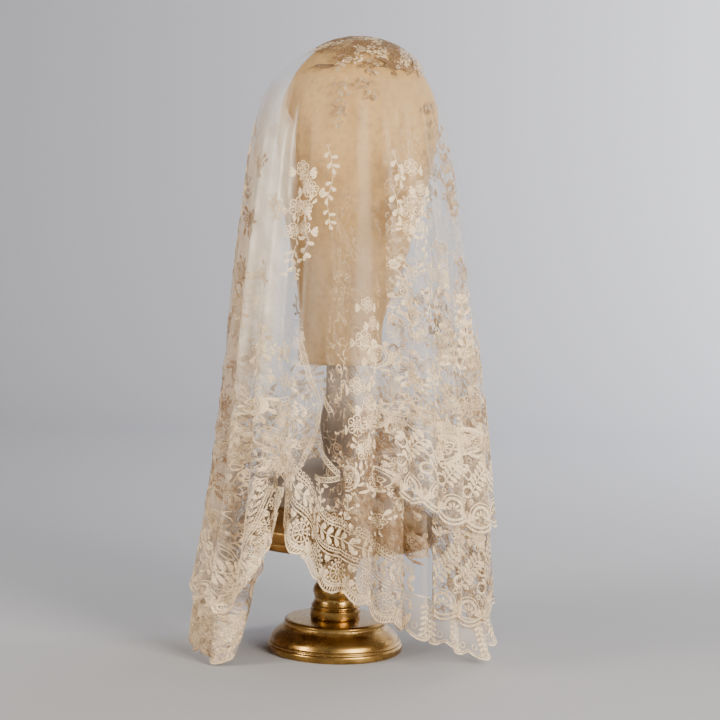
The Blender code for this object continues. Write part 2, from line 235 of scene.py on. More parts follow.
SHORT_HEM = (
    # angle, height
    (-142.0, 0.1315), (-137.0, 0.1200), (-121.0, 0.0880), (-105.0, 0.0680),
    (-80.0, 0.0580), (-52.0, 0.0560),
    (-20.0, 0.0700), (17.0, 0.1800), (26.0, 0.1760), (42.0, 0.1570),
    (60.0, 0.1390), (90.0, 0.1330), (112.0, 0.1320), (140.0, 0.1450),
    (170.0, 0.1700), (200.0, 0.1650), (218.0, 0.1315),
)
UNDERLAY_HEM = (
    # angle, height
    (36.0, 0.0620), (50.0, 0.0500), (76.0, 0.0340), (92.0, 0.0520), (108.0, 0.1250),
)
LEFT_TIER_EDGE = (
    # height, angle
    (0.6040, -43.0), (0.5750, -43.4), (0.5500, -34.0), (0.4500, -26.0),
    (0.3300, -20.0), (0.2710, -10.0), (0.2350, -14.0), (0.2000, -22.5),
    (0.1800, -24.5), (0.1550, -26.5), (0.1250, -32.5), (0.0850, -38.0), (0.0560, -46.0),
)
LEFT_LONG_EDGE = (
    # height, angle
    (0.5990, -43.0), (0.1750, -43.4), (0.1300, -37.0), (0.1070, -36.0),
    (0.0600, -44.0), (0.0300, -49.0), (0.0000, -52.0),
)
RIGHT_TIER_EDGE = (
    # height, angle
    (0.6040, 16.5), (0.5750, 16.9), (0.3240, 17.2), (0.1760, 19.5),
)
TIER_FLARE = (
    # angle, distance
    (-142.0, 0.0090), (-75.0, 0.0090), (-40.0, 0.0180), (-10.0, 0.0160),
    (20.0, 0.0130), (45.0, 0.0120), (90.0, 0.0130), (112.0, 0.0120), (218.0, 0.0090),
)
TIER_LIFT, TIER_LIFT_TOP, TIER_LIFT_FULL, FLARE_REACH = 0.0042, 0.6035, 0.5800, 0.4640
SHORT_FULLNESS, UNDERLAY_FULLNESS = 0.75, 0.88
UNDERLAY_LIFT, UNDERLAY_TOP = 0.0052, 0.2450
TAIL_TUCK, TAIL_TOP, TAIL_RISE = 0.030, 0.150, 0.090
TAIL_START, TAIL_FULL, TAIL_END, TAIL_RETURN = -88.0, -52.0, -30.0, 6.0
DRIFT_DEGREES, DRIFT_PER_METRE = 1.5, 8.0
CREASE_DEPTH = 0.00055
ROLL_SHARE = 0.22
print(len(OUTLINE), "heights in the outline,", len(FOLDS), "folds")

# %% [markdown]
# A smooth curve through table rows keeps the cloth from showing the rows as bends. The curve
# here never overshoots a row, so a layer can't swing into the one beneath it.

# %% Smooth look-up and the drape itself
def smooth(value):
    value = np.clip(value, 0.0, 1.0)
    return value * value * (3.0 - 2.0 * value)


def curve(keys, values, at):
    """A cubic through rows sorted by key, flat at each turn, so that it never overshoots."""
    steps = np.diff(keys)
    slopes = np.diff(values) / steps
    before, after = slopes[:-1], slopes[1:]
    turning = before * after <= 0.0
    total = np.where(turning, 1.0, before + after)
    inner = np.where(turning, 0.0, 2.0 * before * after / total)
    tangent = np.concatenate(([slopes[0]], inner, [slopes[-1]]))
    at = np.clip(at, keys[0], keys[-1])
    row = np.clip(np.searchsorted(keys, at, side="right") - 1, 0, len(steps) - 1)
    step = steps[row]
    share = (at - keys[row]) / step
    square, cube = share**2, share**3
    return (
        (2 * cube - 3 * square + 1) * values[row]
        + (cube - 2 * square + share) * step * tangent[row]
        + (3 * square - 2 * cube) * values[row + 1]
        + (cube - square) * step * tangent[row + 1]
    )


def look_up(table, at):
    rows = np.array(sorted(table))
    return curve(rows[:, 0], rows[:, 1], np.asarray(at, float))


def fold_shape(angle):
    """Trough depth from 0 to 1 and the sideways roll of the fold, at each angle."""
    first = FOLDS[0, 0]
    crests = np.append(FOLDS[:, 0], first + 360.0)
    angle = (np.asarray(angle, float) - first) % 360.0 + first
    fold = np.clip(np.searchsorted(crests, angle, side="right") - 1, 0, len(FOLDS) - 1)
    share = (angle - crests[fold]) / (crests[fold + 1] - crests[fold])
    share = share + FOLDS[fold, 2] * np.sin(2 * np.pi * share) / (2 * np.pi)
    share = np.clip(share, 0.0, 1.0)
    depth = FOLDS[fold, 1]
    return depth * np.sin(np.pi * share) ** FOLD_SHARPNESS, depth * np.sin(2 * np.pi * share)


def drift(angle, height):
    """Real folds wander a little on their way down."""
    phase = DRIFT_PER_METRE * height + np.radians(angle) * 2.0
    return DRIFT_DEGREES * np.sin(phase) * smooth((0.6 - height) / 0.3)


def fine_creases(angle, height):
    """Small soft creases between the main folds, in metres."""
    turn = np.radians(angle)
    waves = np.sin(31 * turn + 5.0 * height) + 0.6 * np.sin(53 * turn - 9.0 * height + 1.3)
    return CREASE_DEPTH * waves * smooth((0.60 - height) / 0.25)


def drape(angle, height, lift=0.0, fullness=1.0):
    """Points on the cloth, lift metres outside the long tier's own surface."""
    keys = OUTLINE[::-1, 0]
    left, right, front, back = (curve(keys, OUTLINE[::-1, k], height) for k in (1, 2, 3, 4))
    depth = FOLD_DEPTH * smooth((FOLD_TOP - height) / (FOLD_TOP - FOLD_FULL)) ** 0.8
    trough, roll = fold_shape(angle + drift(angle, height))
    low = smooth((TAIL_TOP - height) / TAIL_RISE)
    turned_in = smooth((angle - TAIL_START) / (TAIL_FULL - TAIL_START))
    tuck = TAIL_TUCK * low * turned_in * (1 - smooth((angle - TAIL_END) / TAIL_RETURN))
    inset = lift - depth * trough * fullness - tuck + fine_creases(angle, height)
    across = (left + right) / 2 + inset
    deep = (front + back) / 2 + inset
    turn = np.radians(angle) + ROLL_SHARE * depth * roll / across
    x = (right - left) / 2 + across * np.sin(turn)
    y = (back - front) / 2 - deep * np.cos(turn)
    return np.stack((x, y, np.broadcast_to(height, x.shape)), axis=-1)


def tier_lift(angle, height):
    ramp = smooth((TIER_LIFT_TOP - height) / (TIER_LIFT_TOP - TIER_LIFT_FULL))
    drop = np.clip((TIER_LIFT_FULL - height) / FLARE_REACH, 0.0, 1.0)
    return TIER_LIFT * ramp + (look_up(TIER_FLARE, angle) - TIER_LIFT) * drop**1.1


def no_lift(angle, height):
    return np.zeros_like(angle + height)


def underlay_lift(angle, height):
    return np.full_like(angle + height, UNDERLAY_LIFT)


print("veil reaches", np.round(drape(np.array([-90.0, 90.0]), np.array([0.3, 0.3]))[:, 0], 3))

# %% [markdown]
# Each tier becomes one sheet. Its columns are spaced evenly along the hem, a whole number to a
# scallop, and its rows run from the hem up to the crown. It gets three maps, all in metres, so
# that lace laid out on them keeps its real size. On "flat", for all that follows the hem, u is
# the distance along the hem and v the distance above it. On "hung", for all that hangs upright
# higher up, u goes round the veil and v is the height. On "edge" u runs up the free edge at the
# left and v inwards from it. An attribute for each map tells how far the cloth draws together
# there, so that motifs can be widened by as much.

# %% Sheets of net
SCALLOP_PITCH = 0.035
SCALLOP_DEPTH = 0.0065
COLUMNS_PER_SCALLOP = 10
LEFT_SIDE = -43.1
ROUND_RADIUS = 0.12
SLOPE_WINDOW = 17
SLOPE_REACH = 0.070


def short_angle(angle):
    """Brings an angle that ran on past the back round to the tables' own range."""
    return np.where(angle > LEFT_SEAM, np.minimum(angle - 360.0, LEFT_SIDE), angle)


def scallop(along, pitch):
    """How far the scalloped edge rises above the line that its lobes touch."""
    return SCALLOP_DEPTH * (1.0 - np.abs(np.sin(np.pi * along / pitch)))


def slant(angle, height, left_edge, right_edge):
    """Moves columns sideways so that the end ones follow the free edges of the cloth."""
    if left_edge is not None:
        reach = look_up(left_edge, height) + 360.0 - LEFT_SEAM
        share = (angle - LEFT_SEAM) / (FRONT_SEAM + 360.0 - LEFT_SEAM)
        angle = np.where(angle > LEFT_SEAM, LEFT_SEAM + reach * share, angle)
    if right_edge is not None:
        away = look_up(right_edge, height) - RIGHT_SEAM
        angle = angle + away * (1.0 - smooth((angle - RIGHT_SEAM) / (BACK_SEAM - RIGHT_SEAM)))
    return angle


def hem_columns(start, end, hem, shape):
    """Column angles evenly spaced along the hem, with their places along it and the pitch."""
    angle = np.linspace(start, end, 4000)
    height = look_up(hem, short_angle(angle))
    for _ in range(4):
        height = look_up(hem, short_angle(shape["slant"](angle, height)))
    line = shape["surface"](angle, height)
    along = np.concatenate(([0.0], np.cumsum(np.linalg.norm(np.diff(line, axis=0), axis=1))))
    scallops = round(along[-1] / SCALLOP_PITCH)
    count = scallops * COLUMNS_PER_SCALLOP + 1
    places = np.linspace(0.0, along[-1], count)
    return np.interp(places, along, angle), places, along[-1] / scallops, (along, height)


def sheet_grid(start, end, top, hem, rows, lift, fullness, left_edge=None, right_edge=None):
    """A tier as arrays: points, flat coordinates, narrowing, angle and height at each vertex."""

    def turned(angle, height):
        return slant(angle, height, left_edge, right_edge)

    def surface(angle, height):
        real = turned(angle, height)
        return drape(real, height, lift(short_angle(real), height), fullness)

    shape = {"slant": turned, "surface": surface}
    columns, places, pitch, (along, heights) = hem_columns(start, end, hem, shape)
    low = np.interp(places, along, heights)
    bottom = low + scallop(places, pitch)
    share = np.linspace(0.0, 1.0, rows + 1)[:, None]
    height = bottom + (top(columns) - bottom) * share
    angle = np.broadcast_to(columns, height.shape)
    points = surface(angle, height)
    climb = np.linalg.norm(np.diff(points, axis=0), axis=2)
    climbed = np.vstack((np.zeros(len(columns)), np.cumsum(climb, axis=0)))
    above = scallop(places, pitch) + climbed
    flat = squared(places, low, above)
    real = turned(angle, height)
    hung = np.stack((np.radians(real - FRONT_SEAM) * ROUND_RADIUS, height), axis=-1)
    run = np.linalg.norm(np.diff(points[:, -1], axis=0), axis=1)
    run = np.broadcast_to(np.append(0.0, np.cumsum(run))[:, None], above.shape)
    inwards = np.cumsum(np.linalg.norm(np.diff(points, axis=1), axis=2)[:, ::-1], axis=1)
    inwards = np.hstack((inwards[:, ::-1], np.zeros((len(run), 1))))
    return {
        "points": points,
        "flat": flat,
        "hung": hung,
        "edge": np.stack((run, inwards), axis=-1),
        "flat_draw": drawing_in(points, flat),
        "hung_draw": drawing_in(points, hung),
        "angle": real,
        "height": height,
        "pitch": pitch,
        "length": places[-1],
    }


def squared(places, low, above):
    """The flat map, with the lace's rows square to the hem where the hem slopes."""
    reach = SLOPE_WINDOW // 2
    fall = np.clip(-np.gradient(low, places), -0.95, 0.95)
    fall = np.convolve(np.pad(fall, reach, mode="edge"), np.ones(SLOPE_WINDOW), mode="valid")
    fall = np.clip(fall / SLOPE_WINDOW, -0.9, 0.9)
    near = SLOPE_REACH * (1.0 - np.exp(-above / SLOPE_REACH)) * smooth(above / 0.018)
    along = places - near * fall
    square = above - near * (1.0 - np.sqrt(1.0 - fall**2))
    return np.stack((along, square), axis=-1)


def drawing_in(points, chart):
    """True width over width on the map, between neighbouring columns at the same level."""
    across = (np.gradient(points, axis=1) ** 2).sum(axis=2)
    along, rise = np.gradient(chart[..., 0], axis=1), np.gradient(chart[..., 1], axis=1)
    return np.sqrt(np.maximum(across - rise**2, (0.1 * along) ** 2)) / along


print("a scallop is about", SCALLOP_PITCH, "m wide and", SCALLOP_DEPTH, "m deep")

# %% [markdown]
# The sheets carry a few more attributes, which their finish reads: where the net is creased,
# where it is darned, how brown it is painted, partly yellowing and partly painted shade, and how
# much it hides. Each starts from a plain rule and is then changed over patches of the veil. A
# patch is a span of angles and one of heights, each with the width of its soft step.

# %% Patches of the veil
LOWEST = -1.0
LEFT_TAIL = ((232.0, 335.0, 4.0), (LOWEST, 0.095, 0.02))
LEFT_HALF = (238.0, 312.0, 18.0)
OPEN_PANEL = (24.0, 100.0)


def between(value, start, end, blend):
    """1 between start and end, 0 outside, with a soft step of width blend at both."""
    return smooth((value - start) / blend) * smooth((end - value) / blend)


def patch(angle, height, angles, heights):
    """1 inside a patch of the veil and 0 outside it, with soft edges."""
    return between(angle, *angles) * between(height, *heights)


def patched(table, name, angle, height):
    """What the rows of a table add up to at each place of one sheet."""
    rows = table.get(name, ())
    return sum((share * patch(angle, height, *place) for share, *place in rows), 0.0 * angle)


def line_at(angle, middle, width, power=2):
    """1 along a line down the veil and 0 beside it."""
    return np.exp(-(((angle - middle) / width) ** power))


def crest_share(angle, height):
    """1 along the crest of each fold, where the net is creased and looks denser, 0 beside it."""
    trough, _ = fold_shape(angle + drift(angle, height))
    crest = np.clip(1.0 - trough / 0.10, 0.0, 1.0) ** 2 * smooth((FOLD_TOP - height) / 0.1)
    return crest * (1.0 - between(angle, -26.0, 17.0, 6.0))


def open_front(angle):
    """1 where the long tier hangs as nearly plain net, left and right of the stem, else 0."""
    left = smooth((-6.0 - angle) / 8.0)
    right = smooth((angle - 24.0) / 5.0) * smooth((104.0 - angle) / 8.0)
    return np.where(angle < 0.0, left, right)


print("a patch is 1 in its middle:", patch(-60.0, 0.3, (-80.0, -40.0, 5.0), (LOWEST, 0.4, 0.1)))

# %% [markdown]
# The darned ground is thick just above the hem's border and thins out upwards. It is left out
# where the net is nearly plain: the open front, and most of the back and of the right side.

# %% How thickly the net is darned
AT_BACK = (114.0, 238.0)
DARNING_AT_HEM, CORNER_DARNING = 0.60, 0.95
DARNING_STEPS = (
    # metres above the hem, width of the step, how much darning comes or goes there
    (0.07, 0.02, 0.40), (0.19, 0.12, -0.45), (0.28, 0.20, -0.55),
)
DARNED_FRONT = (5.0, 30.0, 4.0), (LOWEST, 0.27, 0.06)


def darning_share(name, above, angle, height):
    """How thickly the net is darned, from its place above the hem and on the veil."""
    steps = (share * smooth((above - level) / width) for level, width, share in DARNING_STEPS)
    worked = sum(steps, DARNING_AT_HEM)
    if name == "veil_turned_corner":
        worked = CORNER_DARNING
    back = between(angle, *AT_BACK, 12.0) * smooth((above - 0.07) / 0.01)
    side = between(angle, 72.0, 122.0, 8.0) * smooth((height - 0.27) / 0.05)
    worked = worked * (1.0 - 0.9 * back) * (1.0 - side)
    if name == "veil_long_tier":
        for place in (DARNED_FRONT, LEFT_TAIL):
            worked = np.maximum(worked, patch(angle, height, *place))
        bare = np.where(angle < 0.0, smooth((above - 0.07) / 0.01), 1.0)
        worked = worked * (1.0 - open_front(angle) * bare)
    return worked


print("darning at the hem:", DARNING_AT_HEM)

# %% [markdown]
# The net's colour is browner in places: partly cotton yellowed with age, partly painted shade
# where the veil hangs in shadow, darkest at the outer left and low down. The tone follows the
# angle round the veil, and patches of the tiers are darker: a row holds by how much, the patch's
# angles and its heights.

# %% How yellowed and shaded the net is painted
TAN_AND_SHADE_SHARE = (
    # angle, how brown the thread is painted there from 0 to 1, yellowing and painted shade
    (-142.0, 0.55), (-100.0, 0.90), (-74.0, 0.90), (-62.0, 0.60), (-53.0, 0.20),
    (-40.0, 0.02), (-25.0, 0.12), (-5.0, 0.60), (15.0, 0.70), (30.0, 0.35), (50.0, 0.45),
    (80.0, 0.65), (120.0, 0.55), (218.0, 0.55),
)
TAN_AND_SHADE_PATCHES = {
    "veil_long_tier": (
        # low in front the darker colour is painted shade; low at the left it is yellowed thread
        # and painted shade
        (0.60, (-14.0, 50.0, 8.0), (LOWEST, 0.30, 0.05)),  # low in front
        (0.60, (346.0, 380.0, 8.0), (LOWEST, 0.30, 0.05)),  # the same, a full turn on
        (0.90, (236.0, 318.0, 10.0), (LOWEST, 0.24, 0.06)),  # low at the left
    ),
}
# The trough share darkens the colour in the folds' troughs low on the veil: painted shade.
CORNER_TAN, TROUGH_PAINTED_SHADE, TAIL_PALER = 0.60, 0.35, 0.45


def tan_and_shade_share(angle):
    """How brown the thread is painted at each angle: partly yellowed cotton, partly painted shade.
    """
    angle = np.asarray(angle, float)
    return look_up(TAN_AND_SHADE_SHARE, np.where(angle > LEFT_SEAM, angle - 360.0, angle))


def tan_and_shade_at(name, angle, height):
    """How brown the net is painted at a place, partly yellowing and partly painted shade: the
    inner and lower parts of the long tier are darkest.
    """
    tan_and_shade = tan_and_shade_share(angle) + patched(TAN_AND_SHADE_PATCHES, name, angle, height)
    if name == "veil_long_tier":
        tan_and_shade = tan_and_shade * (1.0 - TAIL_PALER * patch(angle, height, *LEFT_TAIL))
    if name == "veil_turned_corner":
        tan_and_shade = tan_and_shade + CORNER_TAN
    return tan_and_shade


print("tan in front and at the left:", np.round(tan_and_shade_share(np.array([0.0, -90.0])), 2))

# %% [markdown]
# The net hides more of what is behind it where it is gathered or doubled. Its pressed creases
# show as thin pale lines down the veil.

# %% How much the net hides
PLAIN_NET = 0.02
DENSE_PATCHES = {
    "veil_short_tier": (
        (0.24, LEFT_HALF, (LOWEST, 0.40, 0.14)),  # gathered at the left
        (0.12, (16.0, 100.0, 12.0), (LOWEST, 0.45, 0.20)),  # doubled at the right
    ),
    "veil_long_tier": (
        (0.08, (-26.0, 30.0, 8.0), (0.24, 0.46, 0.05)),  # over the form's neck
        (0.38, (3.0, 28.0, 4.0), (LOWEST, 0.35, 0.09)),  # under the roses in front
        (0.16, LEFT_HALF, (LOWEST, 0.22, 0.05)),  # low at the left
        (0.20, *LEFT_TAIL),
    ),
}
FOLD_LINES = (
    # angle, width of the line in degrees, how much it hides; a line is a crease pressed in
    (-74.0, 0.9, 0.20), (-64.0, 0.7, 0.25), (-55.0, 0.8, 0.30), (-47.0, 0.7, 0.25),
    (-39.0, 0.8, 0.30), (-32.0, 0.6, 0.20), (47.0, 0.7, 0.16), (66.0, 0.8, 0.16),
)


def fold_lines(angle, height):
    """How much the pressed creases of the upper veil hide, from 0 to 1."""
    angle = np.where(angle > LEFT_SEAM, angle - 360.0, angle) + drift(angle, height)
    lines = sum(share * line_at(angle, place, width) for place, width, share in FOLD_LINES)
    return lines * between(height, 0.20, 0.62, 0.10)


def net_density(name, above, angle, height):
    """How much the bare net itself hides, from 0 to 1: more where it is gathered or doubled."""
    gauze = between(angle, 236.0, 331.0, 12.0) * smooth((height - 0.27) / 0.05)
    upper = np.maximum(between(angle, *LEFT_HALF), gauze) * smooth((0.62 - height) / 0.12)
    dense = PLAIN_NET + upper * (0.28 + 0.20 * smooth((height - 0.34) / 0.06))
    dense = dense + patched(DENSE_PATCHES, name, angle, height)
    if name == "veil_short_tier":
        dense = dense + fold_lines(angle, height)
    if name == "veil_long_tier":
        widening = smooth((0.5 - height) / 0.3)
        band = line_at(angle, 6.5 - 2.0 * widening, 3.2 * (1.0 + widening), 4)
        dense = dense + 0.22 * band * smooth((0.60 - height) / 0.06)
        dense = dense + 0.5 * line_at(angle, -36.0, 0.9) * between(height, 0.46, 0.58, 0.03)
        panel = between(angle, *OPEN_PANEL, 5.0) * smooth((0.046 - above) / 0.006)
        dense = dense + 0.30 * panel
    return dense


print("pressed creases:", len(FOLD_LINES))

# %% [markdown]
# Now the arrays become meshes. Every vertex is known by its row and column, so a map or an
# attribute is written straight from an array of the same shape.

# %% The tiers as meshes
def sheet_piece(name, points, faces, maps, values):
    """A sheet as a piece, with its UV maps and the attributes that its finish reads."""
    mesh = bpy.data.meshes.new(name)
    mesh.from_pydata(points, [], faces)
    corners = np.empty(len(mesh.loops), int)
    mesh.loops.foreach_get("vertex_index", corners)
    for label, chart in maps.items():
        mesh.uv_layers.new(name=label).uv.foreach_set("vector", chart[corners].ravel())
    for label, value in values.items():
        mesh.attributes.new(label, "FLOAT", "POINT").data.foreach_set("value", value.ravel())
    mesh.shade_smooth()
    print(name, "-", len(mesh.polygons), "faces")
    return add_object(name, mesh)


def tier_piece(name, grid):
    rows, columns = grid["height"].shape
    index = np.arange(rows * columns).reshape(rows, columns)
    faces = np.stack((index[:-1, :-1], index[:-1, 1:], index[1:, 1:], index[1:, :-1]), axis=-1)
    maps = {label: grid[label].reshape(-1, 2) for label in ("flat", "hung", "edge")}
    angle, height, above = grid["angle"], grid["height"], grid["flat"][..., 1]
    trough, _ = fold_shape(angle + drift(angle, height))
    # How deep each fold's trough is, low on the veil; it darkens the colour below as painted
    # shade.
    deep = trough * smooth((0.50 - height) / 0.3)
    values = {
        "flat_draw": grid["flat_draw"],
        "hung_draw": grid["hung_draw"],
        "crease": crest_share(angle, height),
        "darning": darning_share(name, above, angle, height),
        "dense": net_density(name, above, angle, height),
        "tan_and_shade": tan_and_shade_at(name, angle, height) + TROUGH_PAINTED_SHADE * deep,
        "edge_draw": np.ones(angle.shape),
    }
    return sheet_piece(name, grid["points"].reshape(-1, 3), faces.reshape(-1, 4), maps, values)


def long_top(angle):
    return CAP_HEM + (UNDER_TOP - CAP_HEM) * smooth((angle - RIGHT_SEAM) / 4.0)


def short_top(angle):
    return np.full_like(angle, CAP_HEM)


def underlay_top(angle):
    return np.full_like(angle, UNDERLAY_TOP)


grids = {
    "veil_long_tier": sheet_grid(
        FRONT_SEAM, FRONT_SEAM + 360.0, long_top, LONG_HEM, 130, no_lift, 1.0, LEFT_LONG_EDGE
    ),
    "veil_short_tier": sheet_grid(
        RIGHT_SEAM, FRONT_SEAM + 360.0, short_top, SHORT_HEM, 120, tier_lift, SHORT_FULLNESS,
        LEFT_TIER_EDGE, RIGHT_TIER_EDGE,
    ),
    "veil_turned_corner": sheet_grid(
        36.0, 108.0, underlay_top, UNDERLAY_HEM, 40, underlay_lift, UNDERLAY_FULLNESS
    ),
}
sheets = {name: tier_piece(name, grid) for name, grid in grids.items()}
print("hems:", [round(grid["length"], 3) for grid in grids.values()], "m")

# %% [markdown]
# The crown is a disc over the top of the head. Its flat map is measured outwards from the
# highest point, so that the lace medallion on it lies flat without squeezing.

# %% The crown
CROWN_RINGS = 26
CROWN_COLUMNS = 180
CROWN_FADE, CROWN_FADE_WIDTH = 0.030, 0.045
CROWN_DARNING, CROWN_DENSE, CROWN_TAN = 0.7, 0.22, 1.2


def crown_sheet():
    heights = CAP_HEM + (APEX[2] - CAP_HEM) * np.sin(np.linspace(0.0, np.pi / 2, CROWN_RINGS + 1))
    angle = np.linspace(FRONT_SEAM, FRONT_SEAM + 360.0, CROWN_COLUMNS, endpoint=False)
    points = drape(*np.meshgrid(angle, heights[:-1]))
    out = np.linalg.norm(np.diff(points, axis=0), axis=2)
    to_apex = np.linalg.norm(points[-1] - APEX, axis=1)
    reach = to_apex + np.vstack((np.cumsum(out[::-1], axis=0)[::-1], np.zeros(len(angle))))
    turn = np.radians(angle)
    flat = np.stack((reach * np.sin(turn), -reach * np.cos(turn)), axis=-1)
    rows, columns = reach.shape
    index = np.arange(rows * columns).reshape(rows, columns)
    after = np.roll(index, -1, axis=1)
    faces = np.stack((index[:-1], after[:-1], after[1:], index[1:]), axis=-1).reshape(-1, 4)
    faces = [tuple(face) for face in faces]
    faces += [(a, b, rows * columns) for a, b in zip(index[-1], after[-1])]
    flat = np.vstack((flat.reshape(-1, 2), (0.0, 0.0)))
    inner = 1.0 - smooth((np.linalg.norm(flat, axis=1) - CROWN_FADE) / CROWN_FADE_WIDTH)
    values = {
        "flat_draw": np.ones(len(flat)),
        "crease": np.zeros(len(flat)),
        "darning": CROWN_DARNING * inner,
        "dense": PLAIN_NET + CROWN_DENSE * inner,
        "tan_and_shade": np.full(len(flat), CROWN_TAN),
    }
    print("the crown reaches", round(float(reach.max()), 3), "m from the top")
    points = np.vstack((points.reshape(-1, 3), APEX))
    return sheet_piece("veil_crown", points, faces, {"flat": flat}, values)


sheets["veil_crown"] = crown_sheet()

# %% [markdown]
# The lace itself is thread, so it is made as real raised shapes and not painted on. Cords,
# leaves, rings, wheels and roses are drawn flat with formulas, as a lace designer pricks a
# pattern. Each is a low ridge: its middle stands a little higher than its edges, and catches
# the light as a satin stitch does.

# %% A thread drawer
MM = 0.001
THREAD_RISE = 0.35 * MM


def heading(turn):
    """The flat direction at a turn in degrees from +x."""
    return np.array((math.cos(math.radians(turn)), math.sin(math.radians(turn))))


class Stitches:
    """Collects raised shapes, flat in x and y, with z the height above the net."""

    def __init__(self):
        self.points = []
        self.faces = []

    def add(self, points, faces):
        first = len(self.points)
        self.points += [tuple(point) for point in points]
        self.faces += [tuple(first + corner for corner in face) for face in faces]

    def cord(self, path, width, rise=THREAD_RISE):
        """A ridged cord along a path of flat points."""
        path = np.array(path, float)
        way = np.gradient(path, axis=0)
        way /= np.maximum(np.linalg.norm(way, axis=1, keepdims=True), 1e-9)
        side = np.stack((-way[:, 1], way[:, 0]), axis=1) * width / 2
        rows = np.stack((path + side, path, path - side), axis=1)
        tall = np.zeros(rows.shape[:2] + (1,))
        tall[:, 1] = rise
        points = np.concatenate((rows, tall), axis=2).reshape(-1, 3)
        faces = []
        for step in range(len(path) - 1):
            a = 3 * step
            faces += [(a, a + 1, a + 4, a + 3), (a + 1, a + 2, a + 5, a + 4)]
        self.add(points, faces)

    def leaf(self, base, angle, length, width, bend=0.0):
        """A plump leaf with a raised rib; angle in degrees from +x, bend sideways."""
        share = np.array((0.0, 0.30, 0.66, 0.90, 1.0))
        half = np.array((0.0, 0.32, 0.50, 0.34, 0.0)) * width
        side_way = bend * length * share**2
        rib = np.stack((share * length, side_way), axis=1)
        turn = math.radians(angle)
        spin = np.array(((math.cos(turn), math.sin(turn)), (-math.sin(turn), math.cos(turn))))
        left = (rib + np.stack((0 * half, half), axis=1)) @ spin + base
        right = (rib - np.stack((0 * half, half), axis=1)) @ spin + base
        rib = rib @ spin + base
        points = [(*rib[0], 0.0)]
        for k in (1, 2, 3):
            points += [(*left[k], 0.0), (*rib[k], THREAD_RISE), (*right[k], 0.0)]
        points.append((*rib[4], 0.0))
        faces = [(0, 2, 1), (0, 3, 2)]
        for k in (0, 3):
            faces += [(k + 1, k + 2, k + 5, k + 4), (k + 2, k + 3, k + 6, k + 5)]
        faces += [(7, 8, 10), (8, 9, 10)]
        self.add(points, faces)

    def leaf_pair(self, spot, turn, spread, length, width, bend=0.0):
        """Two leaves that part from the heading turn by spread degrees to either side."""
        for side in (-1.0, 1.0):
            self.leaf(spot, turn + side * spread, length, width, side * bend)

    def ring(self, centre, radius, width, steps=12, start=0.0, sweep=360.0):
        turn = np.radians(np.linspace(start, start + sweep, steps + 1))
        path = np.stack((np.cos(turn), np.sin(turn)), axis=1) * radius + centre
        self.cord(path, width)

    def wheel(self, centre, radius, spokes, width):
        """A wheel with plump spokes, as worked in the middle of each scallop."""
        self.ring(centre, radius, width, 24)
        self.ring(centre, 0.30 * radius, width, 10)
        for spoke in range(spokes):
            turn = 360.0 * (spoke + 0.5) / spokes
            self.leaf(heading(turn) * 0.34 * radius + centre, turn, 0.58 * radius, 0.19 * radius)

    def rose(self, centre, radius, petals=5, turn=0.0):
        """A rose: two rings of looped petals round a small eye."""
        for count, away, size in ((petals, 0.62, 0.38), (petals - 2, 0.27, 0.22)):
            for petal in range(count):
                angle = turn + 360.0 * petal / count
                way = heading(angle)
                spot = way * away * radius + centre
                self.ring(spot, size * radius, 0.13 * radius, 7, angle - 130.0, 260.0)
                self.leaf(spot - way * 0.2 * radius, angle, 0.4 * radius, 0.15 * radius)
        self.ring(centre, 0.07 * radius, 0.12 * radius, 5)

    def mesh(self, name):
        mesh = bpy.data.meshes.new(name)
        mesh.from_pydata(self.points, [], self.faces)
        mesh.shade_smooth()
        return bpy.data.objects.new(name, mesh)


print("a thread rises", THREAD_RISE / MM, "mm from the net")

# %% [markdown]
# The border repeats once for each scallop. From the edge upwards it has a thick cord, bars that
# join it to two inner cords, a wheel with a fan of leaves in the valley beside it, a ladder, a
# stem of nested leaf pairs, a second ladder and a row of rings. Along some stretches another
# edge takes its place: a plump one, an open one with a hanging sprig, or one of cords alone.

# %% The borders, one scallop wide
EDGE_STEPS = 16
LADDERS = ((36.8, 1.5), (40.6, 1.3), (43.8, 1.3), (65.4, 1.3), (68.6, 1.3))
RUNG_LEVELS = (40.8, 65.6)
RING_ROWS = ((72.0, 2.0, 0.9, 8), (63.8, 0.8, 0.7, 5), (46.4, 0.8, 0.7, 5))


def hem_cords(work, pitch, rows, every=1):
    """Cords along one repeat; a row holds level, share of the scallop, width and rise, in mm."""
    across = np.linspace(-pitch / 2, pitch / 2, EDGE_STEPS + 1)[::every]
    edge = scallop(across + pitch / 2, pitch)
    for level, share, width, rise in rows:
        work.cord(np.stack((across, level * MM + share * edge), axis=1), width * MM, rise * MM)


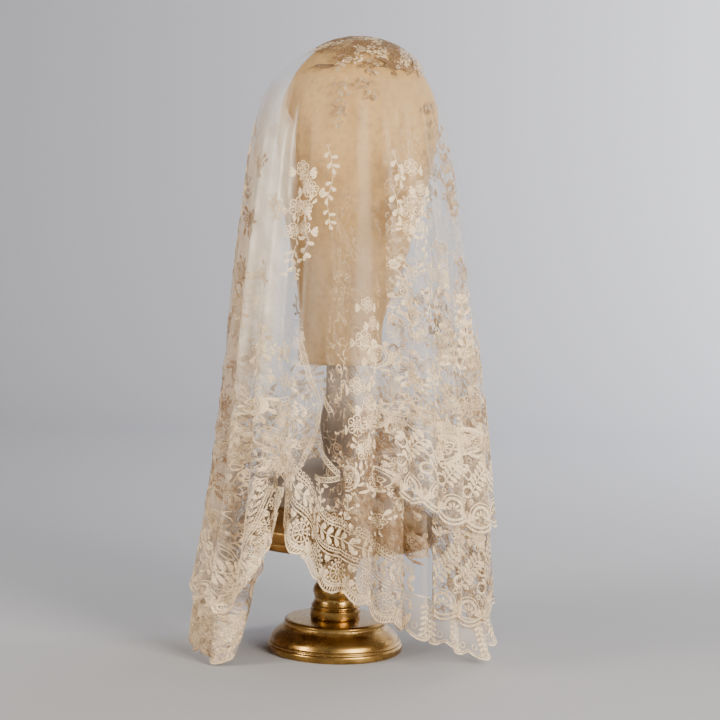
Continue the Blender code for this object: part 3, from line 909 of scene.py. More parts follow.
def border_scallop(pitch):
    """One repeat of the border, its scallop's lobe centred on x = 0."""
    work = Stitches()
    hem_cords(work, pitch, ((1.6, 1.0, 3.4, 0.9), (8.4, 0.8, 2.0, 0.35), (10.7, 0.8, 1.5, 0.35)))
    for bar in np.linspace(-0.45, 0.45, 12) * pitch:
        foot = float(scallop(bar + pitch / 2, pitch))
        work.leaf((bar, foot + 1.8 * MM), 90.0 - 0.6 * bar / MM, 6.4 * MM, 1.7 * MM)
    middle = (0.0, 22.5 * MM)
    work.wheel(middle, 9.2 * MM, 10, 1.3 * MM)
    for turn in np.arange(0.0, 360.0, 24.0):
        work.leaf(heading(turn) * 10.0 * MM + middle, turn, 3.6 * MM, 3.0 * MM)
    for side in (-1.0, 1.0):
        for step, angle in enumerate((90.0, 60.0, 30.0, 5.0)):
            size = (10.5 - 1.6 * step) * MM
            tip = 90.0 + side * (90.0 - angle)
            work.leaf((side * pitch / 2, 15.0 * MM), tip, size, 3.4 * MM)
            work.leaf((side * pitch / 2, 34.5 * MM), -tip, 0.62 * size, 2.8 * MM)
    hem_cords(work, pitch, [(level, 0.0, width, 0.35) for level, width in LADDERS], every=4)
    for place in (np.arange(10) - 4.5) / 10 * pitch:
        for level in RUNG_LEVELS:
            work.leaf((place - 0.6 * MM, level * MM), 65.0, 3.2 * MM, 0.9 * MM)
    hem_cords(work, pitch, ((54.6, 0.0, 1.1, 0.35),), every=4)
    for place in (np.arange(3) - 1.2) / 3 * pitch:
        work.leaf_pair((place, 54.6 * MM), 0.0, 50.0, 11.5 * MM, 6.2 * MM, -0.12)
    for place in (np.arange(6) - 2.5) / 6 * pitch:
        for level, radius, width, steps in RING_ROWS:
            work.ring((place, level * MM), radius * MM, width * MM, steps)
    return work


def bold_edge(pitch):
    """One repeat of the plump edge: thick cords, an arch with a fan, and a leafy branch."""
    work = Stitches()
    hem_cords(work, pitch, ((2.0, 1.0, 4.0, 1.0), (7.4, 1.0, 2.4, 0.8)))
    work.ring((0.0, 19.0 * MM), 10.0 * MM, 3.2 * MM, 16, -25.0, 230.0)
    work.ring((0.0, 19.0 * MM), 14.2 * MM, 1.3 * MM, 16, -15.0, 210.0)
    for turn in (10.0, 50.0, 90.0, 130.0, 170.0):
        work.leaf(heading(turn) * 2.0 * MM + (0.0, 17.0 * MM), turn, 6.4 * MM, 3.0 * MM)
    for side in (-1.0, 1.0):
        for step, turn in enumerate((90.0, 60.0, 32.0)):
            tip, size = 90.0 + side * (90.0 - turn), (12.0 - 2.0 * step) * MM
            work.leaf((side * pitch / 2, 13.0 * MM), tip, size, 4.4 * MM)
        work.ring((side * 0.36 * pitch, 34.0 * MM), 2.4 * MM, 1.3 * MM, 8)
    rise = 38.0 + 34.0 * np.linspace(0.0, 1.0, 8) ** 0.8
    stem = np.stack((np.linspace(-14.0, 13.0, 8), rise), axis=1) * MM
    work.cord(stem, 1.5 * MM)
    for spot in stem[1:]:
        work.leaf_pair(spot, 50.0, 62.0, 10.5 * MM, 5.4 * MM, 0.15)
    work.ring((17.0 * MM, 44.0 * MM), 5.5 * MM, 2.4 * MM, 12, 60.0, 280.0)
    work.ring((-15.0 * MM, 62.0 * MM), 5.0 * MM, 2.2 * MM, 12, 200.0, 280.0)
    return work


def plain_edge(pitch):
    """One repeat of the barest edge: two cords along the scallop and one straight above it."""
    work = Stitches()
    hem_cords(work, pitch, ((1.2, 1.0, 2.0, 0.8), (3.8, 1.0, 0.8, 0.35), (44.0, 0.0, 1.2, 0.35)))
    return work


def light_edge(pitch):
    """One repeat of the open edge: the plain edge with a hanging sprig."""
    work = plain_edge(pitch)
    stem = np.stack((np.linspace(-3.0, 2.0, 7), np.linspace(42.0, 9.0, 7)), axis=1) * MM
    work.cord(stem, 1.1 * MM)
    for spot in stem[1:]:
        work.leaf_pair(spot, 270.0, 48.0, 7.0 * MM, 3.4 * MM, 0.1)
    for place in (-0.30, 0.30):
        work.ring((place * pitch, 14.0 * MM), 3.0 * MM, 0.9 * MM, 9)
    return work


print("faces in one repeat of the border:", len(border_scallop(SCALLOP_PITCH).faces))

# %% [markdown]
# Above the border the net carries sprays: a curved stem with paired leaves, roses part-way up
# and buds at the tips. Scrolls, curved ferns, chains and festoons of rings, hanging columns of
# roses and single roses stand between them, so that the eye doesn't find the repeat.

# %% Sprays and sprigs
STEM_STEPS = 11


def along_path(path, share):
    """The point at a share of a stem's way, between the stem's own points."""
    steps = np.arange(len(path))
    return np.array([np.interp(share * STEM_STEPS, steps, path[:, k]) for k in (0, 1)])


def spray(length, bend, pairs, roses, leaf_size, seed):
    """A flowering stem that grows up from the origin."""
    work = Stitches()
    chance = np.random.default_rng(seed)
    share = np.linspace(0.0, 1.0, STEM_STEPS + 1)
    path = np.stack((bend * length * np.sin(share * 2.6), share * length), axis=1)
    work.cord(path, 0.9 * MM)
    way = np.gradient(path, axis=0)
    for pair in range(pairs):
        share = (pair + 0.7) / pairs
        spot = along_path(path, share)
        step = int(share * STEM_STEPS)
        along = math.degrees(math.atan2(way[step, 1], way[step, 0]))
        for side in (-1.0, 1.0):
            size = leaf_size * (1.1 - 0.45 * share) * chance.uniform(0.85, 1.15)
            turn = along + side * chance.uniform(38.0, 58.0)
            work.leaf(spot, turn, size, 0.5 * size, -side * 0.15)
            if pair % 2 == 0:
                reach = heading(turn) * size
                twig = spot + reach * 1.25
                work.cord((spot, spot + reach * 0.7, twig), 0.6 * MM)
                for tip in (-35.0, 5.0, 45.0):
                    work.leaf(twig, turn + tip * side, 0.5 * size, 0.3 * size, 0.1)
    for share, offset, radius in roses:
        spot = along_path(path, share) + (offset * length, 0.0)
        work.rose(spot, radius, 5, chance.uniform(0.0, 72.0))
    for turn in (-28.0, 0.0, 28.0):
        work.leaf(path[-1], 90.0 + turn, 0.7 * leaf_size, 0.36 * leaf_size)
    return work


print("faces in a spray:", len(spray(52 * MM, -0.16, 5, (), 10 * MM, seed=2).faces))

# %% [markdown]
# The other motifs are drawn from the same leaves, rings and roses. A scroll is a cord that curls
# in towards a rose, a fern is an arc of leaf pairs, and a festoon hangs as a parabola of rings.

# %% Sprigs, roses, scrolls and ferns
def three_leaf_sprig(size):
    work = Stitches()
    work.cord(((0.0, 0.0), (0.06 * size, -0.5 * size), (0.0, -1.0 * size)), 0.8 * MM)
    for foot, turn in ((0.25, 205.0), (0.45, -25.0), (0.75, 215.0), (0.85, -35.0), (1.0, 270.0)):
        work.leaf((0.03 * size, -foot * size), turn, 0.36 * size, 0.21 * size, 0.12)
    work.ring((0.0, 0.08 * size), 0.07 * size, 0.7 * MM, 8)
    return work


def rose_column(length):
    """A hanging column of roses with leaves on both sides, as at the height of the ears."""
    work = Stitches()
    places = ((0.0, 0.0, 8.5), (0.12, -0.24, 8.0), (-0.06, -0.46, 10.5), (0.08, -0.70, 7.0))
    for x, y, radius in places:
        work.rose((x * length, y * length), radius * MM, 6, 31.0 * radius)
        for side in (-1.0, 1.0):
            spot = (x * length + side * radius * MM, (y - 0.04) * length)
            for turn in (-38.0, -8.0, 26.0):
                angle = turn if side > 0 else 180.0 - turn
                work.leaf(spot, angle, 8.0 * MM, 4.2 * MM, 0.15 * side)
    work.cord(
        ((0.08 * length, -0.7 * length), (0.16 * length, -0.85 * length),
         (0.10 * length, -length)), 0.8 * MM,
    )
    for foot, turn in ((0.80, 200.0), (0.86, -20.0), (0.93, 215.0), (0.98, -50.0), (1.0, 265.0)):
        work.leaf((0.13 * length, -foot * length), turn, 7.5 * MM, 4.2 * MM)
    return work


def festoon(width, drop):
    """A hanging chain of rings with a fine cord on either side."""
    work = Stitches()
    share = np.linspace(-1.0, 1.0, 15)
    line = np.stack((share * width / 2, drop * (share**2 - 1.0)), axis=1)
    work.cord(line + (0.0, 2.4 * MM), 0.7 * MM)
    work.cord(line - (0.0, 2.4 * MM), 0.7 * MM)
    steps = int(width * 1.15 / (4.2 * MM))
    for share in (np.arange(steps) + 0.5) / steps * 2.0 - 1.0:
        work.ring((share * width / 2, drop * (share**2 - 1.0)), 1.5 * MM, 0.6 * MM, 7)
    return work


def single_rose(radius):
    work = Stitches()
    work.rose((0.0, 0.0), radius, 6)
    for turn in (20.0, 48.0, 140.0, 165.0, 255.0, 285.0):
        work.leaf(heading(turn) * radius, turn, radius, 0.5 * radius, 0.15)
    return work


def scroll(radius, side):
    """A thick curl that ends in a rose, with plump leaves on its outer side."""
    work = Stitches()
    share = np.linspace(0.0, 1.0, 22)
    turn = np.radians(side * (270.0 * share - 100.0))
    reach = radius * (1.0 - 0.42 * share)
    path = np.stack((np.cos(turn), np.sin(turn)), axis=1) * reach[:, None]
    width = (0.9 + 2.2 * np.sin(np.pi * (0.12 + 0.8 * share)))[:, None] * MM
    work.cord(path, width)
    work.cord(path * 0.78, 0.8 * MM)
    work.rose((0.0, 0.0), 0.50 * radius, 5, 20.0)
    for step in range(2, 20, 3):
        along = math.degrees(turn[step]) + side * 38.0
        work.leaf(path[step] * 1.06, along, 0.52 * radius, 0.26 * radius, side * 0.15)
    for step in range(4, 21, 2):
        work.ring(path[step] * 0.9, 0.5 * MM, 0.5 * MM, 5)
    return work


def fern_arc(radius, sweep, pairs):
    """A curved stem of nested leaf pairs, standing on its two ends."""
    work = Stitches()
    turns = np.radians(np.linspace(90.0 + sweep / 2, 90.0 - sweep / 2, pairs * 2))
    work.cord(np.stack((np.cos(turns), np.sin(turns)), axis=1) * radius, 0.9 * MM)
    for step in range(pairs):
        turn = 90.0 + sweep / 2 - sweep * (step + 0.3) / pairs
        spot = heading(turn) * radius
        work.leaf_pair(spot, turn - 90.0, 48.0, 10.0 * MM, 4.8 * MM, -0.12)
    for offset in (-12.5, -15.0, 12.5, 15.0):
        ring = np.stack((np.cos(turns), np.sin(turns)), axis=1) * (radius + offset * MM)
        work.cord(ring, 0.8 * MM)
    return work


print("faces in a scroll:", len(scroll(13 * MM, 1.0).faces))

# %% [markdown]
# All motifs go into one collection. Collection Info hands them over in the order of their
# names, so a letter in front of each name keeps that order the same as in this table.

# %% The motifs
MOTIFS = {
    "a_border": border_scallop(SCALLOP_PITCH),
    "b_tall_spray": spray(
        78 * MM, 0.10, 7, ((0.35, 0.08, 7 * MM), (0.7, -0.06, 6 * MM)), 11 * MM, seed=1
    ),
    "c_low_spray": spray(52 * MM, -0.16, 5, ((0.45, -0.1, 6.5 * MM),), 10 * MM, seed=2),
    "d_twig": spray(34 * MM, 0.2, 4, (), 8 * MM, seed=3),
    "e_sprig": three_leaf_sprig(26 * MM),
    "f_rose_column": rose_column(84 * MM),
    "g_festoon": festoon(62 * MM, 17 * MM),
    "h_rose": single_rose(8 * MM),
    "i_fern_arc": fern_arc(40 * MM, 150.0, 11),
    "i_light_edge": light_edge(SCALLOP_PITCH),
    "j_scroll_left": scroll(13 * MM, 1.0),
    "k_scroll_right": scroll(13 * MM, -1.0),
    "l_chain": festoon(42 * MM, 2 * MM),
    "m_bold_edge": bold_edge(SCALLOP_PITCH),
    "n_plain_edge": plain_edge(SCALLOP_PITCH),
}
KIND = {name[2:]: number for number, name in enumerate(MOTIFS)}
motif_set = bpy.data.collections.new("lace_motifs")
for name, work in MOTIFS.items():
    motif_set.objects.link(work.mesh(name))
    print(name, "-", len(work.faces), "faces")

# %% [markdown]
# The layout is a list of places on the flat cloth. A motif's own size is real, but the columns
# of the sheet draw together towards the crown. So each point remembers where it is anchored,
# and the wrap widens the motif about that place by the sheet's own narrowing.

# %% The layout of the lace
NO_TIE = -9.0


class Layout:
    """Places for motifs on one sheet's flat map."""

    def __init__(self):
        self.rows = []

    def place(self, kind, along, above, turn=0.0, size=1.0, tone=0.3, tie=None, widen=1.0):
        tie = along if tie is None else tie
        self.rows.append(
            (along, above, math.radians(turn), size * widen, size, KIND[kind], tone, tie)
        )

    def points(self, name):
        rows = np.array(self.rows)
        mesh = bpy.data.meshes.new(name)
        flat = np.column_stack((rows[:, 0], rows[:, 1], np.zeros(len(rows))))
        mesh.from_pydata(flat, [], [])
        labels = ((2, "turn"), (3, "wide"), (4, "tall"), (6, "tone"), (7, "tie"))
        for column, label in labels:
            layer = mesh.attributes.new(label, "FLOAT", "POINT")
            layer.data.foreach_set("value", rows[:, column].astype(np.float32))
        kind = mesh.attributes.new("kind", "INT", "POINT")
        kind.data.foreach_set("value", rows[:, 5].astype(np.int32))
        return add_object(name, mesh)


def angle_along(grid, along):
    """The angle at a place along the hem, from -180 to 180 degrees."""
    angle = np.interp(along, grid["flat"][0, :, 0], grid["angle"][0])
    return (angle + 180.0) % 360.0 - 180.0


def hung_place(angle, height):
    """Where on the hung map a spot at this angle and height lies."""
    return math.radians((angle - FRONT_SEAM) % 360.0) * ROUND_RADIUS, height


print("numbers of the motifs:", KIND)

# %% [markdown]
# Along the hem there is one border repeat for each scallop, and its kind changes round the veil.
# A band of scrolls, roses and sprays stands on it. The tail's end is filled with small curls.

# %% Along the hem
CURLS_FROM = 0.72
CURL_ROWS = (0.008, 0.062, 0.0105)
CURL_PITCH, CURL_SHIFT, CURL_SIZE = 0.0115, 0.003, 0.68


def curled_ground(layout, length, seed):
    """Small roses set close together in the tail's end, like a ground of tight curls."""
    chance = np.random.default_rng(seed)
    for above in np.arange(*CURL_ROWS):
        for along in np.arange(CURLS_FROM * length, length - 0.004, CURL_PITCH):
            along = along + chance.uniform(-CURL_SHIFT, CURL_SHIFT)
            turn = chance.uniform(0, 90)
            layout.place("rose", along, above, turn, CURL_SIZE, chance.uniform(0.2, 0.7))


def edge_kind(name, angle, share):
    """Which edge a sheet has at this angle and share of its hem."""
    if name == "veil_turned_corner" or name == "veil_short_tier" and -122.0 < angle < 112.0:
        return "bold_edge"
    if name == "veil_long_tier" and share > CURLS_FROM:
        return "plain_edge"
    if name == "veil_long_tier" and angle > 0.0 and open_front(angle) > 0.4:
        return "light_edge"
    return "border"


def hem_tan_and_shade(name, angle):
    """How brown the net is painted at the hem's own height, partly yellowing and partly painted
    shade.
    """
    return float(tan_and_shade_at(name, angle % 360.0, 0.12))


def border_row(layout, grid, name):
    """One border repeat for each scallop, stretched to the sheet's own pitch."""
    pitch = grid["pitch"]
    for number in range(-3, round(grid["length"] / pitch) + 3):
        along = (number + 0.5) * pitch
        angle = angle_along(grid, along)
        kind = edge_kind(name, angle, along / grid["length"])
        tone = 0.5 * hem_tan_and_shade(name, angle) - 0.22
        layout.place(kind, along, 0.0, tone=tone, tie=NO_TIE, widen=pitch / SCALLOP_PITCH)


EDGE_CLEAR = 0.055
CHAIN_PITCH = 0.040
PLAIN_BACK = 118.0
FESTOON_LEVEL, SPRIG_LEVEL = 0.190, 0.215
BAND_ROWS = (
    # kinds taken in turn; place in pitches, metres above the hem, turn, size, tone added to the
    # net's own; a pair is the least and the most that chance may give
    (("scroll_left", "scroll_right"), 0.0, 0.094, (-25, 25), 1.1, (0.0, 0.2)),
    (("rose",), 0.5, (0.088, 0.100), (0, 90), (0.8, 1.1), (0.1, 0.5)),
    (("rose",), (-0.2, 0.2), (0.126, 0.140), (0, 90), (1.1, 1.4), (-0.1, 0.3)),
    (("twig",), 0.45, 0.112, (-50, 50), 0.9, (0.3, 0.7)),
    (
        ("tall_spray", "scroll_right", "low_spray", "fern_arc"),
        0.2, (0.150, 0.165), (-30, 30), (0.8, 1.0), (0.0, 0.5),
    ),
)


def edge_layout(rows, tan_and_shade):
    """The border and a chain along a free edge; rows holds (start, end, kind, inwards, size)."""
    layout = Layout()
    for start, end, kind, inwards, size in rows:
        pitch = (SCALLOP_PITCH if kind == "border" else CHAIN_PITCH) * size
        for step in range(int((end - start) / pitch)):
            up = start + (step + 0.5) * pitch
            layout.place(kind, up, inwards, size=size, tone=tan_and_shade, tie=NO_TIE)
    return layout


def hem_layout(name, seed):
    """The border and the thick band of flowers that stands on it."""
    layout = Layout()
    chance = np.random.default_rng(seed)
    grid = grids[name]
    border_row(layout, grid, name)
    if name == "veil_long_tier":
        curled_ground(layout, grid["length"], seed=9)
    pitch, length = grid["pitch"], grid["length"]
    for number in range(round(length / pitch)):
        along = (number + 0.5) * pitch
        angle = angle_along(grid, along)
        if name == "veil_long_tier" and open_front(angle) > 0.2:
            continue
        if length - along < EDGE_CLEAR:
            continue
        if abs(angle) > PLAIN_BACK:
            layout.place("low_spray", along, 0.078, chance.uniform(-20, 20), 1.0, 0.4)
            continue
        tan_and_shade = 0.8 * hem_tan_and_shade(name, angle) - 0.25
        for kinds, *spans in BAND_ROWS:
            aside, above, turn, size, tone = (
                chance.uniform(*part) if isinstance(part, tuple) else part for part in spans
            )
            kind = kinds[number % len(kinds)]
            layout.place(kind, along + aside * pitch, above, turn, size, tan_and_shade + tone)
        if number % 2 == 0:
            layout.place("festoon", along + 0.5 * pitch, FESTOON_LEVEL, size=0.95, tone=0.5)
            layout.place("sprig", along, SPRIG_LEVEL, chance.uniform(-30, 30), 1.0, 0.3)
    print("places along the hem:", len(layout.rows))
    return layout


print("rows in the band of flowers:", len(BAND_ROWS))

# %% [markdown]
# Above the band, chance scatters sprigs over the field in level rows, thinner towards the top.
# The large motifs that catch the eye are not left to chance: each has its own angle and height.

# %% The field and the named spots
FIELD_SPACING, FIELD_START = 0.036, 0.19
FIELD_TOP = 0.40
FIELD_CLEAR = 0.185
FIELD_KINDS = ("twig", "sprig", "rose", "low_spray", "scroll_left", "rose")


def is_bare(angle, height, number, bare):
    """Whether the field stays plain net here; at the back two places in three do."""
    at_back = AT_BACK[0] < angle < AT_BACK[1] and number % 3 > 0
    at_side = 70.0 < angle < 116.0 and height > 0.28
    return bare[0] < angle < bare[1] or at_back or at_side


def field_layout(hem, top, start, end, seed, spots, bare=(0.0, 0.0)):
    """Scattered sprigs between two angles from above the hem's band to top, and named spots.

    bare is a pair of angles between which the field stays plain net.
    """
    layout = Layout()
    chance = np.random.default_rng(seed)
    for level in np.arange(FIELD_START, top, FIELD_SPACING):
        apart = 17.0 + 50.0 * max(0.0, level - FIELD_TOP + 0.06)
        count = int((end - start) / apart)
        for number in range(count):
            angle = start + (number + chance.uniform(0.1, 0.9)) * (end - start) / count
            height = level + chance.uniform(-0.014, 0.014)
            kind = FIELD_KINDS[int(chance.integers(len(FIELD_KINDS)))]
            turn, size = chance.uniform(-50, 50), chance.uniform(0.75, 1.15)
            tone = float(tan_and_shade_share(angle)) + chance.uniform(-0.3, 0.4)
            above = height - look_up(hem, short_angle(np.array(angle)))
            if above > FIELD_CLEAR and not is_bare(angle, height, number, bare):
                layout.place(kind, *hung_place(angle, height), turn, size, tone)
    for kind, angle, height, turn, size in spots:
        tone = chance.uniform(-0.25, 0.05)
        # At the sides above 0.40 the spots are painted darker, as shade; near the crown they are
        # darker too.
        if height > 0.57 or height > 0.40 and 55.0 < abs(angle) < 100.0:
            tone = 0.75
        layout.place(kind, *hung_place(angle, height), turn, size, tone)
    print("places in the field:", len(layout.rows))
    return layout


LONG_SPOTS = (
    # kind, angle, height, turn, size
    ("rose_column", 7.0, 0.375, 0.0, 0.9),
    ("rose_column", 3.0, 0.295, 8.0, 1.0),
    ("scroll_left", 12.0, 0.325, 0.0, 1.0),
    ("scroll_right", 11.0, 0.262, 0.0, 1.0),
    ("scroll_left", 0.0, 0.205, 0.0, 1.1),
    ("scroll_right", 12.0, 0.200, 0.0, 1.1),
    ("rose", 20.0, 0.216, 0.0, 1.1),
    ("scroll_left", 21.0, 0.176, 0.0, 0.9),
    ("rose", 14.0, 0.160, 0.0, 1.0),
    ("twig", 18.0, 0.240, 20.0, 1.1),
    ("rose", 5.0, 0.232, 0.0, 1.3),
    ("chain", -11.0, 0.285, -62.0, 0.9),
    ("chain", -9.0, 0.222, -46.0, 1.0),
    ("chain", -10.0, 0.203, 2.0, 1.0),
    ("twig", -12.0, 0.163, 8.0, 1.0),
    ("twig", -4.0, 0.150, -12.0, 1.0),
    ("rose_column", -28.0, 0.508, 0.0, 1.0),
    ("sprig", -13.0, 0.530, 12.0, 0.8),
    ("sprig", -10.0, 0.500, -18.0, 0.8),
    ("sprig", -13.0, 0.472, 10.0, 0.7),
    ("rose", -24.0, 0.470, 10.0, 0.9),
    ("rose", -33.0, 0.446, 40.0, 1.0),
    ("rose", -25.0, 0.496, 0.0, 0.8),
    ("twig", -31.0, 0.432, 190.0, 0.9),
    ("twig", -3.0, 0.602, 176.0, 1.0),
    ("twig", -4.0, 0.575, 170.0, 0.7),
    ("twig", 6.0, 0.606, 215.0, 0.8),
)
SHORT_SPOTS = (
    # kind, angle, height, turn, size
    ("rose", -58.0, 0.512, 0.0, 0.9),
    ("twig", -56.0, 0.470, 170.0, 0.9),
    ("twig", -86.0, 0.530, 175.0, 1.0),
    ("twig", -90.0, 0.480, 185.0, 1.0),
    ("twig", -88.0, 0.430, 170.0, 1.0),
    ("rose_column", 33.0, 0.512, 0.0, 1.0),
    ("twig", 38.0, 0.400, 190.0, 1.0),
    ("sprig", 23.0, 0.525, 10.0, 1.0),
    ("sprig", 21.0, 0.490, 10.0, 1.0),
    ("tall_spray", 60.0, 0.485, 8.0, 1.1),
    ("low_spray", 66.0, 0.455, -12.0, 1.0),
    ("rose", 29.0, 0.452, 20.0, 0.9),
    ("rose", 38.0, 0.476, 0.0, 0.9),
    ("scroll_left", 45.0, 0.232, 0.0, 1.3),
    ("scroll_right", 53.0, 0.272, 0.0, 1.2),
    ("scroll_left", 63.0, 0.236, 0.0, 1.2),
    ("rose", 55.0, 0.312, 0.0, 1.4),
    ("tall_spray", 64.0, 0.300, 0.0, 1.0),
    ("rose", -38.0, 0.380, 0.0, 1.3),
    ("rose", -44.0, 0.330, 40.0, 1.5),
    ("scroll_left", -36.0, 0.300, 0.0, 1.2),
    ("scroll_right", -48.0, 0.270, 0.0, 1.2),
    ("tall_spray", -40.0, 0.230, 0.0, 1.0),
    ("rose_column", 130.0, 0.550, 0.0, 1.0),
    ("rose_column", 165.0, 0.550, 0.0, 1.0),
    ("rose_column", 200.0, 0.550, 0.0, 1.0),
    ("rose_column", 235.0, 0.550, 0.0, 1.0),
    ("rose_column", 268.0, 0.550, 0.0, 1.0),
)


print("named spots:", len(LONG_SPOTS), "on the long tier,", len(SHORT_SPOTS), "on the short one")

# %% [markdown]
# The turned corner has a plump edge with a few sprays. The crown's medallion is made of rings of
# twigs and roses, set a little in front of the top, where they show.

# %% The corner and the crown, and all layouts
CROWN_MIDDLE = (0.014, -0.018)
CROWN_RING_RADII = (0.004, 0.013, 0.022, 0.031, 0.040, 0.049, 0.057)
CROWN_SPACING, CROWN_SIZE = 0.0165, 0.68
CROWN_KINDS = ("twig", "twig", "rose")
CROWN_TONES = (1.6, 0.30, 1.2)
CROWN_SPRIGS = ((-12.0, 0.060), (14.0, 0.066), (60.0, 0.058), (200.0, 0.060))


def corner_layout():
    layout = Layout()
    grid = grids["veil_turned_corner"]
    border_row(layout, grid, "veil_turned_corner")
    for number in range(int(grid["length"] / grid["pitch"])):
        layout.place("low_spray", (number + 0.5) * grid["pitch"], 0.080, 12.0, 1.0, 0.4)
        if number > 0:
            layout.place("rose", number * grid["pitch"], 0.092, 12.0, 1.2, 0.4)
    return layout


def crown_layout():
    """Rings of leaves round a point a little in front of the top, and sprigs round them."""
    layout = Layout()
    chance = np.random.default_rng(11)
    for radius in CROWN_RING_RADII:
        count = round(2 * math.pi * radius / CROWN_SPACING)
        for number in range(count):
            turn = 360.0 * (number + 0.3 * chance.uniform(-1, 1)) / count
            across, ahead = CROWN_MIDDLE + radius * heading(turn - 90.0)
            tone = CROWN_TONES[int(chance.integers(3))]
            turn = turn + 90.0 + chance.uniform(-40, 40)
            layout.place(CROWN_KINDS[number % 3], across, ahead, turn, CROWN_SIZE, tone)
    for turn, reach in CROWN_SPRIGS:
        layout.place("sprig", *(reach * heading(turn - 90.0)), turn, 0.9, 0.7)
    return layout


SHORT_EDGE_ROWS = (
    # start, end, kind, inwards, size
    (0.000, 0.160, "border", 0.0, 0.75),
    (0.160, 0.360, "chain", 0.006, 1.0),
    (0.170, 0.330, "low_spray", 0.014, 0.8),
)
LONG_EDGE_ROWS = ((0.060, 0.170, "border", 0.0, 0.7),)
LONG_TOP, SHORT_TOP = FIELD_TOP, 0.50
layouts = (
    # name, sheet, map, layout
    ("lace_long_border", "veil_long_tier", "flat", hem_layout("veil_long_tier", seed=5)),
    ("lace_short_border", "veil_short_tier", "flat", hem_layout("veil_short_tier", seed=6)),
    ("lace_corner", "veil_turned_corner", "flat", corner_layout()),
    ("lace_crown", "veil_crown", "flat", crown_layout()),
    ("lace_short_edge", "veil_short_tier", "edge", edge_layout(SHORT_EDGE_ROWS, 0.15)),
    ("lace_long_edge", "veil_long_tier", "edge", edge_layout(LONG_EDGE_ROWS, 0.70)),
    (
        "lace_long_sprigs", "veil_long_tier", "hung",
        field_layout(LONG_HEM, LONG_TOP, 18.0, 314.0, 7, LONG_SPOTS, OPEN_PANEL),
    ),
    (
        "lace_short_sprigs", "veil_short_tier", "hung",
        field_layout(SHORT_HEM, SHORT_TOP, 20.0, 334.0, 8, SHORT_SPOTS),
    ),
)

# %% [markdown]
# Geometry and shader trees are both built by a small helper. It places a node, sets its
# settings, and fills each input with a plain value or wires another node's output to it.

# %% A helper for node trees
class Tree:
    """Places and wires the nodes of one tree."""

    def __init__(self, tree):
        self.tree = tree

    def node(self, kind, inputs=(), **settings):
        made = self.tree.nodes.new(kind)
        for key, value in settings.items():
            setattr(made, key, value)
        self.fill(made, dict(inputs))
        return made

    def fill(self, node, inputs):
        for name, value in inputs.items():
            if isinstance(value, bpy.types.NodeSocket):
                self.tree.links.new(value, node.inputs[name])
            else:
                node.inputs[name].default_value = value

    def math(self, operation, first, second=0.5, clamp=False):
        made = self.node("ShaderNodeMath", {0: first, 1: second}, operation=operation)
        made.use_clamp = clamp
        return made.outputs[0]

    def combine(self, x=0.0, y=0.0, z=0.0):
        return self.node("ShaderNodeCombineXYZ", {0: x, 1: y, 2: z}).outputs[0]

    def mix(self, share, first, second):
        colors = [(*c, 1.0) if isinstance(c, tuple) else c for c in (first, second)]
        inputs = {"Factor": share, 6: colors[0], 7: colors[1]}
        return self.node("ShaderNodeMix", inputs, data_type="RGBA").outputs[2]

    def ramp(self, value, low, high, start=0.0, end=1.0):
        inputs = {"Value": value, 1: low, 2: high, 3: start, 4: end}
        return self.node("ShaderNodeMapRange", inputs).outputs[0]

    def noise(self, vector, scale, detail=2.0):
        inputs = {"Vector": vector, "Scale": scale, "Detail": detail}
        return self.node("ShaderNodeTexNoise", inputs).outputs["Fac"]

    def attribute(self, name):
        return self.node("ShaderNodeAttribute", attribute_name=name).outputs["Fac"]

    def bump(self, height, strength, distance):
        inputs = {"Height": height, "Strength": strength, "Distance": distance}
        return self.node("ShaderNodeBump", inputs).outputs[0]


def interface(tree, direction, sockets):
    """Named sockets of a tree; sockets holds (label, kind) or (label, kind, value)."""
    for label, kind, *value in sockets:
        made = tree.interface.new_socket(label, in_out=direction, socket_type="NodeSocket" + kind)
        if value:
            made.default_value = value[0]


print("the helper places nodes in both kinds of tree")

# %% [markdown]
# One Geometry Nodes tree wraps all the lace. It puts a motif on every point of a flat layout,
# makes them real, widens each about its anchor, finds the same flat spot on the draped sheet
# with Sample UV Surface, and moves the thread there along the sheet's normal. What would fall
# off the cloth's edge is cut away. The result is turned into a plain mesh.

# %% The wrapping tree
THREAD_LIFT = 0.25 * MM
LEAST_DRAW = 0.2
WRAP_INPUTS = (
    ("Layout", "Geometry"), ("Motifs", "Collection"), ("Sheet", "Object"), ("Map", "String"),
    ("Drawing In", "String"), ("Thread Lift", "Float"), ("Thread", "Material"),
)


